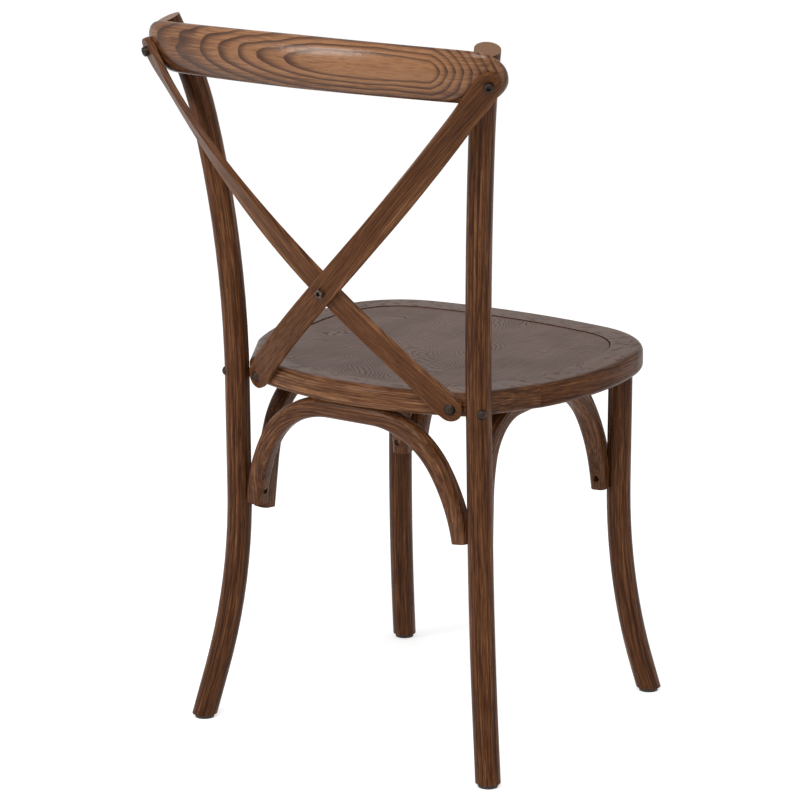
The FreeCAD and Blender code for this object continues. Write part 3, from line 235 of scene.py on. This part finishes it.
def rod_material(name, plan, lean, foot, top, seed):
    """Stained ash whose grain follows a rod: a sabre foot below, and slack bends above."""
    finish = Finish(name)
    x, y, z = finish.position()
    side = finish.math("SIGN", x)
    out_x, out_y = math.cos(foot["heading"]), math.sin(foot["heading"])
    drop = finish.larger(foot["waist"] - z, 0.0)
    out = drop * drop / (2 * foot["radius"])
    low, high = (finish.larger(z - height, 0.0) for height in top["heights"])
    bends = [1 / (2 * radius) for radius in top["radii"]]
    away = low * low * bends[0] + high * high * (bends[1] - bends[0])
    centre_x = plan[0] - z * lean[0] + out * out_x + away * math.cos(top["heading"])
    centre_y = plan[1] + z * lean[1] + out * out_y + away * math.sin(top["heading"])
    across = x * side - centre_x
    through = y - centre_y
    rings = finish.length(across - ROD_HEART[0], through - ROD_HEART[1]) / ROD_RING_PITCH
    ends = finish.smooth(finish.facing_up(), *SAWN_END)
    look = {"seed": seed + 3.0 * side, "rings": 0.7, "cover": (ends, END_GRAIN)}
    return stained_ash(finish, across, through, z, rings, look)


POST_FOOT = {"heading": math.radians(49.7), "waist": 0.295, "radius": 0.817}
POST_TOP = {"heading": math.radians(44.8), "heights": (0.437, 0.765), "radii": (1.625, 0.455)}
POST_PLAN = (0.1811, 0.1261)
POST_LEAN = (math.tan(math.radians(0.4)), math.tan(math.radians(1.2)))

post_wood = rod_material("post_wood", POST_PLAN, POST_LEAN, POST_FOOT, POST_TOP, 0.0)
for side in ("left", "right"):
    dress(f"rear_post_{side}", post_wood)

# Front legs
# Shorter rods of the same ash, bent only at the foot.
# Their tops are turned down to tenons that are glued into the seat.

LEG_FOOT = {"heading": math.radians(-61.4), "waist": 0.285, "radius": 0.803}

# The legs end well below these heights, so nothing bends above the foot
LEG_TOP = {"heading": 0.0, "heights": (1.0, 1.0), "radii": (1.0, 1.0)}
LEG_PLAN = (0.168, -0.1991)

leg_wood = rod_material("leg_wood", LEG_PLAN, (0.0, 0.0), LEG_FOOT, LEG_TOP, 11.0)
for side in ("left", "right"):
    dress(f"front_leg_{side}", leg_wood)

# Seat rails
# Four sawn ash rails, mitred at the front and butted at the rear, with dowels in the joints.
# Their outer rims are rounded over, and a rebate along each inner edge carries the panel.

PANEL_GREY_AND_SHEEN = (0.088, 0.041, 0.026, 1.0)
INNER_HALF_WIDTH = 0.212
INNER_HALF_DEPTH = 0.186
INNER_MIDDLE = -0.052
RAIL_RING_SLOPE = 0.12
RAIL_RING_PITCH = 0.0042
RAIL_WAVE_SCALE = 11.0
RAIL_WAVE = 0.014

# How level a face has to be to be painted greyer, a painted sheen, and where the full grey cover by
# the panel ends
LEVEL_TOP = (0.86, 0.99)
STAIN_EDGE = (0.92, 1.0)

# Half widths between which the rear rail's painted highlight fades out beside the posts
HIGHLIGHT_FADE = (0.150, 0.172)


def rail_material(name, along_x, seed, pale, sheen, highlight_off_by_posts=False):
    """Stained ash with its grain level, along the width or the depth of the seat.

    Its level top is painted greyer, a painted sheen, and beside the panel it takes the panel's greyer
    colour. The last flag keeps a paler rail's painted highlight off its ends beside the posts.
    """
    finish = Finish(name)
    x, y, z = finish.position()
    along, across = (x, y) if along_x else (y, x)
    wave = finish.noise(finish.vector(across * 0.5, along * 0.35, seed), RAIL_WAVE_SCALE, 1.0)
    rings = (z + RAIL_RING_SLOPE * across + RAIL_WAVE * wave) / RAIL_RING_PITCH
    wide = finish.math("ABSOLUTE", x / INNER_HALF_WIDTH)
    deep = finish.math("ABSOLUTE", (y - INNER_MIDDLE) / INNER_HALF_DEPTH)
    inner = 1.0 - finish.smooth(wide ** 3.0 + deep ** 3.0, *STAIN_EDGE)
    # Painted sheen: level faces take the greyer colour, and so does the rail beside the panel
    top = finish.larger(finish.smooth(finish.facing_up(), *LEVEL_TOP) * 0.8, inner)
    # A paler rail's tone is a painted highlight, which fades out here beside the posts
    if highlight_off_by_posts:
        pale = pale * (1.0 - finish.smooth(finish.math("ABSOLUTE", x), *HIGHLIGHT_FADE))
    look = {"seed": seed, "rings": 0.65, "sheen": sheen, "cover": (top, PANEL_GREY_AND_SHEEN), "pale": pale}
    return stained_ash(finish, across * 0.12, z, along, rings, look)


# The rails are one stain: the rear rail is painted paler, a painted highlight, and the side rails
# darker, painted shade on their rims
dress("seat_front_rail", rail_material("front_rail_wood", True, 20.0, 0.08, 0.1))
dress("seat_rear_rail", rail_material("rear_rail_wood", True, 24.0, 0.26, 0.15, highlight_off_by_posts=True))
side_rail_wood = rail_material("side_rail_wood", False, 28.0, -0.06, 0.05)
for side in ("left", "right"):
    dress(f"seat_side_rail_{side}", side_rail_wood)

# Seat panel
# A veneered board let into the rails, its face pressed with a fine feather figure.
# The stain is greyer here than on the frame, and darkest in the pressed lines.

PANEL_DEEP = (0.030, 0.012, 0.007, 1.0)
PANEL_MIDDLE = (0.082, 0.036, 0.022, 1.0)
PANEL_PALE = (0.125, 0.061, 0.040, 1.0)
FEATHER_PITCH = 0.0046
FEATHER_SPAN = 0.15
FEATHER_SLOPE = (0.55, 0.8)
FEATHER_DEPTH = 0.0004
VENEER_SCALE = 420.0

# A broad and a fine waver: marks per metre, and how far each moves the lines
BROAD_WAVER = (9.0, 0.11)
FINE_WAVER = (38.0, 0.007)

# The lines stand out in patches and fade between them
PATCH_SCALE = 13.0
PATCH_EDGE = (0.40, 0.62)


def feather_panel():
    """Book-matched veneer: fine lines that meet in chevrons and waver like moire."""
    finish = Finish("seat_panel_wood")
    x, y, _ = finish.position()
    half = finish.math("PINGPONG", x + 0.5 * FEATHER_SPAN, FEATHER_SPAN)
    broad = finish.noise(finish.vector(x, y, 0.0), BROAD_WAVER[0], 2.0) * BROAD_WAVER[1]
    fine = finish.noise(finish.vector(x, y, 4.0), FINE_WAVER[0], 2.0) * FINE_WAVER[1]
    chevron = half * FEATHER_SLOPE[0] + y * FEATHER_SLOPE[1]
    count = (chevron + broad + fine) / FEATHER_PITCH
    ridge = finish.math("SINE", count * (2 * math.pi))
    patch = finish.smooth(finish.noise(finish.vector(x, y, 9.0), PATCH_SCALE, 2.0), *PATCH_EDGE)
    veneer = finish.noise(finish.vector(x, y * 0.05, 2.0), VENEER_SCALE, 2.0)
    line = finish.smooth(ridge, 0.0, 0.9) * (0.35 + 0.65 * patch)
    wood = finish.mix(finish.smooth(veneer, 0.3, 0.7), PANEL_MIDDLE, PANEL_PALE)
    wood = finish.mix(line * 0.75, wood, PANEL_DEEP)
    relief = finish.bump(0.0 - line + 0.3 * veneer, FEATHER_DEPTH, 0.7)
    finish.surface(Base_Color=wood, Roughness=0.42 + 0.12 * line, Normal=relief)
    finish.surface(Specular_IOR_Level=0.13, Coat_Weight=0.03, Coat_Roughness=0.3)
    return finish.material


dress("seat_panel", feather_panel())

# Crest rail
# One thick ash rail, sawn to its curve so that the growth rings come out in long nested loops.
# The top screws of the straps go on through its hollowed ends into the posts.

# The radius of the centre line, its middle, and how fast it drops towards the rail's ends
CREST_RADIUS = 0.690
CREST_MIDDLE = (0.2465, 0.856)
CREST_DROOP = 0.09

# The nested loops: their centre, their reach to each side, and how they crowd past a distance
LOOP_CENTRE = (-0.095, 0.004)
LOOP_REACH = (0.078, 0.105)
LOOP_CROWD = (0.080, 0.024)
LOOP_HEIGHT = 0.0125
LOOP_PITCH = 0.47
LOOP_WAVE_SCALE = 24.0

# Where the rail is painted darker: painted shade below its middle, where its face curves under, and a
# darker tone out from its middle towards the ends
PAINTED_SHADE_BELOW = (0.006, 0.030)
DARK_OUTWARD = (0.10, 0.24)


def crest_material():
    """Cathedral figure: rings round a centre towards the right end, crowded beyond it."""
    finish = Finish("crest_wood")
    x, y, z = finish.position()
    back = y - (CREST_MIDDLE[0] - CREST_RADIUS)
    along = finish.math("ARCTAN2", x, back) * CREST_RADIUS
    through = finish.length(x, back) - CREST_RADIUS
    height = z - CREST_MIDDLE[1] + along * along * CREST_DROOP
    wave = finish.noise(finish.vector(along * 0.45, height, through), LOOP_WAVE_SCALE, 2.0)
    u = along - LOOP_CENTRE[0]
    v = height - LOOP_CENTRE[1] + 0.008 * (wave - 0.5)
    crowd = finish.larger(0.0 - u - LOOP_CROWD[0], 0.0) / LOOP_CROWD[1]
    reach = finish.larger(u, 0.0) / LOOP_REACH[0] + finish.smaller(u, 0.0) / LOOP_REACH[1] - crowd
    loops = finish.larger(finish.length(reach + 0.8 * (wave - 0.5), v / LOOP_HEIGHT), 1.0)
    rings = (loops - 1.0 + 3.0 * through) / LOOP_PITCH
    # Painted shade on the lower part of the face, which curves under
    below = finish.smooth(0.0 - height, *PAINTED_SHADE_BELOW)
    ends = finish.smooth(finish.math("ABSOLUTE", along + 0.03), *DARK_OUTWARD)
    pale = 0.58 - 0.36 * below - 0.34 * ends
    look = {"seed": 40.0, "rings": 0.95, "broken": 0.25, "streaks": 0.6, "pale": pale}
    look.update({"waver": 0.45, "sheen": 0.45, "pores": 0.25, "late_wood": STAIN_DEEP})
    return stained_ash(finish, height, through, along, rings, look)


dress("crest_rail", crest_material())

# Cross straps
# Two thin bent laths with round ends, one over the other, bolted where they cross.
# Their figure is plain and fine, and they are paler along their edges, where the lacquer has worn and
# a highlight is painted on the rounded edges.

STRAP_WIDTH = 0.0305
STRAP_TOP = (0.241, 0.846)
STRAP_CROSSING = 0.5797
STRAP_SEAT = (0.1414, 0.4463)
STRAP_RING_PITCH = 0.0031
STRAP_FIBRE_STRETCH = 0.014

# Half the length over which the middle line turns, and the span of the paler edge in widths, worn
# lacquer with a painted highlight
CROSSING_TURN = 0.08
WORN_AND_HIGHLIGHT_EDGE = (0.36, 0.52)


def strap_material(name, side, seed):
    """Straight grain down a strap, with its own middle line followed above and below the bolt."""
    finish = Finish(name)
    x, y, z = finish.position()
    run = x * side
    upper = (STRAP_TOP[1] - STRAP_CROSSING) / STRAP_TOP[0]
    lower = (STRAP_CROSSING - STRAP_SEAT[1]) / STRAP_SEAT[0]
    slope = upper + (lower - upper) * finish.smooth(run, -CROSSING_TURN, CROSSING_TURN)
    length = finish.math("SQRT", slope * slope + 1.0)
    offset = (z - STRAP_CROSSING + run * slope) / length
    along = (run - (z - STRAP_CROSSING) * slope) / length
    start, end = (share * STRAP_WIDTH for share in WORN_AND_HIGHLIGHT_EDGE)
    # Paler edges: partly worn lacquer, partly a painted highlight
    edge = finish.smooth(finish.math("ABSOLUTE", offset), start, end)
    rings = (offset + 0.1 * y) / STRAP_RING_PITCH
    look = {"seed": seed, "fine": 2.2, "stretch": STRAP_FIBRE_STRETCH, "streaks": 0.7}
    look.update({"rings": 0.35, "blotch": 0.35, "sheen": 0.05, "pale": 0.06 + 0.20 * edge})
    return stained_ash(finish, offset, y * 0.1, along, rings, look)


dress("cross_strap_outer", strap_material("outer_strap_wood", 1, 60.0))
dress("cross_strap_inner", strap_material("inner_strap_wood", -1, 66.0))

# Bows
# Four bentwood arches of ash stiffen the legs and posts under the seat.
# Their grain runs round the bend, and each tip is hollowed to fit the round rod beside it.

BOW_SHOULDER = 0.105
BOW_HEART = (-0.027, 0.011)
BOW_RING_PITCH = 0.0046

# Keeps the angle round a shoulder defined at the shoulder's own centre
SHOULDER_LIFT = 0.0001


def bow_material(name, crown, run, half_span, seed):
    """Grain that follows an arch: level over the crown, round the shoulders and down the legs."""
    finish = Finish(name)
    x, y, z = finish.position()
    u = (x - crown[0]) * run[0] + (y - crown[1]) * run[1]
    depth = (y - crown[1]) * run[0] - (x - crown[0]) * run[1]
    flat = half_span - BOW_SHOULDER
    beyond = finish.larger(finish.math("ABSOLUTE", u) - flat, 0.0)
    above = finish.larger(z - crown[2] + BOW_SHOULDER, 0.0)
    rise = finish.length(beyond, above) - BOW_SHOULDER
    turned = finish.math("ARCTAN2", beyond, above + SHOULDER_LIFT) * BOW_SHOULDER
    level = finish.smaller(finish.larger(u, 0.0 - flat), flat)
    down = finish.larger(crown[2] - BOW_SHOULDER - z, 0.0)
    along = level + finish.math("SIGN", u) * (turned + down)
    rings = finish.length(rise - BOW_HEART[0], depth - BOW_HEART[1]) / BOW_RING_PITCH
    look = {"seed": seed, "rings": 0.5, "blotch": 0.6, "pale": 0.08, "sheen": 0.15}
    return stained_ash(finish, rise, depth, along, rings, look)


# The middle of each crown, the way that it runs on plan, and half of its span
BOW_PLACES = {
    "rear_bow": ((0.0, 0.1426, 0.4231), (1.0, 0.0), 0.1528),
    "front_bow": ((0.0, -0.2003, 0.4344), (1.0, 0.0), 0.1418),
    "side_bow_left": ((0.1500, -0.0349, 0.4289), (0.0377, 0.9993), 0.1423),
    "side_bow_right": ((-0.1500, -0.0349, 0.4289), (-0.0377, 0.9993), 0.1423),
}
for number, (bow, (crown, run, half_span)) in enumerate(BOW_PLACES.items()):
    dress(bow, bow_material(f"{bow}_wood", crown, run, half_span, 80.0 + 7.0 * number))

# Bolts and screws
# Domed bolts through the posts, screws at the strap and bow ends and a bolt at the crossing.
# All are steel with a dark bronze plating that has rubbed bright in small patches.

BRONZE_DARK = (0.030, 0.018, 0.013, 1.0)
BRONZE_WORN = (0.205, 0.135, 0.105, 1.0)
RUB_SCALE = 260.0
RUB_EDGE = (0.62, 0.86)
RUB_DEPTH = 0.00012
SCRATCH_SCALE = 1400.0


def bronzed_steel(name, worn):
    """Dark plating over steel. A larger worn rubs more of it bright."""
    finish = Finish(name)
    x, y, z = finish.position()
    place = finish.vector(x, y, z)
    low, high = (edge - worn for edge in RUB_EDGE)
    rub = finish.smooth(finish.noise(place, RUB_SCALE, 3.0, 0.6), low, high)
    scratch = finish.noise(place, SCRATCH_SCALE, 2.0)
    colour = finish.mix(rub, BRONZE_DARK, BRONZE_WORN)
    relief = finish.bump(scratch + 0.5 * rub, RUB_DEPTH, 0.5)
    finish.surface(Base_Color=colour, Metallic=0.75, Roughness=0.36 + 0.2 * scratch, Normal=relief)
    return finish.material


plain_bronze = bronzed_steel("bronzed_steel", 0.0)
for node in ("post_bolts", "strap_seat_screws", "cross_nut", "bow_end_screws"):
    dress(node, plain_bronze)

# The socket's width is a share of the head's, and its lead-in is a little wider.
# Its depth and the roll of the rim are shares of the head's height.
SOCKET_SHARE = 0.42
SOCKET_LEAD_IN = 1.2
SOCKET_DEPTH = 0.55
HEAD_ROLL = 0.35

# From these shares of the widest radius a point counts as on the rim, or on the shank
RIM_SHARE = 0.95
SHANK_SHARE = 0.2
WELD_DISTANCE = 0.00001
AXIS_ROUNDS = 40
TURN_STEPS = 48
ROLL_STEPS = 5
SHARP_EDGE = math.radians(32)


def loose_pieces(node):
    """The corner points of each separate solid in a node."""
    shape = bmesh.new()
    shape.from_mesh(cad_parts[node].data)
    bmesh.ops.remove_doubles(shape, verts=shape.verts, dist=WELD_DISTANCE)
    left = set(shape.verts)
    pieces = []
    for first in shape.verts:
        if first not in left:
            continue
        left.remove(first)
        found = [first]
        for vertex in found:
            for edge in vertex.link_edges:
                other = edge.other_vert(vertex)
                if other in left:
                    left.remove(other)
                    found.append(other)
        pieces.append([vertex.co.copy() for vertex in found])
    shape.free()
    return pieces


def centre(points):
    """The mean of the points."""
    return sum(points, Vector()) / len(points)


def screw_sizes(points):
    """Foot, outward way and the sizes of a screw, read from its points in the frame."""
    middle = centre(points)
    arms = [point - middle for point in points]
    way = max(arms, key=lambda arm: arm.length).normalized()
    for _ in range(AXIS_ROUNDS):
        way = sum((arm * arm.dot(way) for arm in arms), Vector()).normalized()
    radii = [(arm - way * arm.dot(way)).length for arm in arms]
    head = max(radii)
    rim = [arm for arm, radius in zip(arms, radii) if radius > RIM_SHARE * head]
    if centre(rim).dot(way) < 0.0:
        way = way * -1.0
    foot = min(arm.dot(way) for arm in arms)
    heads = [arm.dot(way) - foot for arm in rim]
    shank = min(radius for radius in radii if radius > SHANK_SHARE * head)
    sizes = {"foot": middle + way * foot, "way": way, "head": head, "shank": shank}
    return sizes | {"seat": min(heads), "top": max(heads)}


def socket_profile(size):
    """Height, radius and six-sidedness of each ring, from the screw's foot up and into its socket."""
    height = size["top"] - size["seat"]
    roll = HEAD_ROLL * height
    socket = SOCKET_SHARE * size["head"]
    rings = [(0.0, size["shank"], False), (size["seat"], size["shank"], False)]
    rings.append((size["seat"], size["head"], False))
    for step in range(ROLL_STEPS + 1):
        turn = 0.5 * math.pi * step / ROLL_STEPS
        rise = size["top"] - roll + roll * math.sin(turn)
        rings.append((rise, size["head"] - roll + roll * math.cos(turn), False))
    rings.append((size["top"] - 0.1 * roll, SOCKET_LEAD_IN * socket, False))
    rings.append((size["top"] - 0.3 * roll, socket, True))
    rings.append((size["top"] - SOCKET_DEPTH * height, socket, True))
    return rings


def turned(shape, size):
    """Add one screw to a shape as closed rings round its axis."""
    turn = size["way"].to_track_quat("Z", "X")
    rings = []
    for height, radius, sided in socket_profile(size):
        ring = []
        for step in range(TURN_STEPS):
            angle = 2 * math.pi * step / TURN_STEPS
            off = (angle + math.pi / 6) % (math.pi / 3) - math.pi / 6
            reach = radius / math.cos(off) if sided else radius
            place = Vector((reach * math.cos(angle), reach * math.sin(angle), height))
            ring.append(shape.verts.new(size["foot"] + turn @ place))
        rings.append(ring)
    for low, high in zip(rings, rings[1:]):
        for a, b, c, d in zip(low, low[1:] + low[:1], high[1:] + high[:1], high):
            shape.faces.new((a, b, c, d))
    shape.faces.new(tuple(reversed(rings[0])))
    shape.faces.new(tuple(rings[-1]))


def socket_screws(name, node, material):
    """Screws with a rolled rim and a six-sided socket, in the places of the node's plain ones."""
    shape = bmesh.new()
    for points in loose_pieces(node):
        turned(shape, screw_sizes(points))
    mesh = bpy.data.meshes.new(name)
    shape.to_mesh(mesh)
    shape.free()
    mesh.materials.append(material)
    mesh.shade_smooth()
    mesh.set_sharp_from_angle(angle=SHARP_EDGE)
    piece = bpy.data.objects.new(name, mesh)
    bpy.context.scene.collection.objects.link(piece)
    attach(piece, "root")
    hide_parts(node)


socket_screws("top_socket_screws", "strap_top_screws", plain_bronze)
socket_screws("crossing_socket_bolt", "cross_bolt", bronzed_steel("worn_bronzed_steel", 0.2))

# Hidden fastenings
# Screws up through the bows, round nuts in the rear rail and the glides' nails are zinc plated.
# The dowels that are glued into the joints of the seat rails are plain beech.

ZINC_DULL = (0.30, 0.30, 0.29, 1.0)
ZINC_BRIGHT = (0.56, 0.56, 0.54, 1.0)
BEECH_FLECK = (0.45, 0.28, 0.14, 1.0)
BEECH_PALE = (0.66, 0.48, 0.30, 1.0)


def zinc_steel():
    """Bright zinc plating with a fine spangle."""
    finish = Finish("zinc_steel")
    x, y, z = finish.position()
    spangle = finish.noise(finish.vector(x, y, z), 700.0, 3.0, 0.6)
    colour = finish.mix(spangle, ZINC_DULL, ZINC_BRIGHT)
    relief = finish.bump(spangle, 0.0001, 0.5)
    finish.surface(Base_Color=colour, Metallic=1.0, Roughness=0.30 + 0.25 * spangle, Normal=relief)
    return finish.material


def dowel_beech():
    """Bare beech with its short flecks."""
    finish = Finish("dowel_beech")
    x, y, z = finish.position()
    fleck = finish.noise(finish.vector(x, y, z), 900.0, 2.0)
    colour = finish.mix(fleck, BEECH_FLECK, BEECH_PALE)
    relief = finish.bump(fleck, 0.0002, 0.5)
    finish.surface(Base_Color=colour, Roughness=0.55 + 0.1 * fleck, Normal=relief)
    return finish.material


zinc = zinc_steel()
for node in ("post_barrel_nuts", "bow_seat_screws", "glide_nails"):
    dress(node, zinc)
dress("seat_rail_dowels", dowel_beech())

# Floor glides
# A thick disc of dark brown moulded plastic is nailed under each foot.
# It is matt, and scuffed pale where it has slid on the floor.

GLIDE_BROWN = (0.020, 0.012, 0.009, 1.0)
GLIDE_SCUFFED = (0.085, 0.062, 0.050, 1.0)
SCUFF_HEIGHT = 0.0022


def glide_plastic():
    """Moulded plastic with a fine grain, scuffed at the floor."""
    finish = Finish("glide_plastic")
    x, y, z = finish.position()
    grain = finish.noise(finish.vector(x, y, z), 1100.0, 3.0, 0.6)
    scuff = 1.0 - finish.smooth(z, 0.0, SCUFF_HEIGHT)
    colour = finish.mix(scuff * grain, GLIDE_BROWN, GLIDE_SCUFFED)
    relief = finish.bump(grain, 0.0002, 0.5)
    finish.surface(Base_Color=colour, Roughness=0.52 + 0.15 * grain, Normal=relief)
    return finish.material


dress("floor_glides", glide_plastic())

# Studio
# A pale floor that runs past the view, a white room, and a soft light above and at each side.
# The camera stands behind the chair, to its right, and looks down at it a little.

FLOOR_REACH = 40.0
FLOOR_WHITE = (0.84, 0.84, 0.84, 1.0)
FLOOR_MOTTLE = (0.87, 0.87, 0.87, 1.0)
FLOOR_LIFT = 0.60


def seen_directly(tree):
    """1 for the camera, and for what it sees in metal or through glass."""
    path = tree.nodes.new("ShaderNodeLightPath")
    total = None
    for name in ("Is Camera Ray", "Is Glossy Ray", "Is Transmission Ray"):
        if total is None:
            total = path.outputs[name]
            continue
        step = tree.nodes.new("ShaderNodeMath")
        step.operation = "MAXIMUM"
        tree.links.new(total, step.inputs[0])
        tree.links.new(path.outputs[name], step.inputs[1])
        total = step.outputs[0]
    return total


def floor_material():
    """Pale paint that looks white to the camera and still takes the chair's shadow."""
    finish = Finish("floor_paint")
    x, y, z = finish.position()
    mottle = finish.noise(finish.vector(x, y, z), 3.0, 2.0)
    colour = finish.mix(mottle * 0.2, FLOOR_WHITE, FLOOR_MOTTLE)
    lift = Socket(finish, seen_directly(finish.tree)) * FLOOR_LIFT
    glow = finish.mix(lift, (0.0, 0.0, 0.0, 1.0), (1.0, 1.0, 1.0, 1.0))
    finish.surface(Base_Color=colour, Roughness=0.9, Emission_Color=glow, Emission_Strength=1.0)
    finish.surface(Specular_IOR_Level=0.0)
    return finish.material


floor_mesh = bpy.data.meshes.new("studio_floor")
corners = [(x * FLOOR_REACH, y * FLOOR_REACH, 0.0) for x, y in ((-1, -1), (1, -1), (1, 1), (-1, 1))]
floor_mesh.from_pydata(corners, [], [(0, 1, 2, 3)])
floor_mesh.materials.append(floor_material())
floor = bpy.data.objects.new("studio_floor", floor_mesh)
bpy.context.scene.collection.objects.link(floor)

WORLD_LIGHT = 0.50


def studio_world():
    """White to the eye, softer as a light."""
    world = bpy.data.worlds.new("studio")
    world.use_nodes = True
    tree = world.node_tree
    background = tree.nodes["Background"]
    background.inputs["Color"].default_value = (1.0, 1.0, 1.0, 1.0)
    level = tree.nodes.new("ShaderNodeMapRange")
    level.inputs["To Min"].default_value = WORLD_LIGHT
    level.inputs["To Max"].default_value = 1.0
    tree.links.new(seen_directly(tree), level.inputs["Value"])
    tree.links.new(level.outputs[0], background.inputs["Strength"])
    bpy.context.scene.world = world


CHAIR_MIDDLE = (0.0, 0.0, 0.5)


def soft_light(name, place, size, power):
    """A square soft box that faces the middle of the chair."""
    lamp = bpy.data.lights.new(name, "AREA")
    lamp.shape = "SQUARE"
    lamp.size = size
    lamp.energy = power
    light = bpy.data.objects.new(name, lamp)
    light.location = place
    light.rotation_euler = (Vector(CHAIR_MIDDLE) - Vector(place)).to_track_quat("-Z", "Y").to_euler()
    bpy.context.scene.collection.objects.link(light)


studio_world()
soft_light("overhead_light", (-0.7, 1.5, 2.7), 1.2, 30.0)
soft_light("left_light", (1.5, 3.0, 1.65), 0.9, 32.0)
soft_light("right_light", (-2.6, -0.6, 1.4), 0.9, 5.0)

CAMERA_PLACE = (-2.230, 3.2231, 1.401)
CAMERA_AZIMUTH = math.radians(35.027)
CAMERA_FALL = math.radians(14.23)
CAMERA_LENS = 147.7
SENSOR_WIDTH = 36.0


def studio_camera():
    """The photograph's viewpoint."""
    data = bpy.data.cameras.new("camera")
    data.lens = CAMERA_LENS
    data.sensor_width = SENSOR_WIDTH
    camera = bpy.data.objects.new("camera", data)
    level = math.cos(CAMERA_FALL)
    look = Vector((
        math.sin(CAMERA_AZIMUTH) * level,
        -math.cos(CAMERA_AZIMUTH) * level,
        -math.sin(CAMERA_FALL),
    ))
    camera.location = CAMERA_PLACE
    camera.rotation_euler = look.to_track_quat("-Z", "Y").to_euler()
    bpy.context.scene.collection.objects.link(camera)
    bpy.context.scene.camera = camera


studio_camera()
bpy.context.scene.view_settings.view_transform = "Standard"
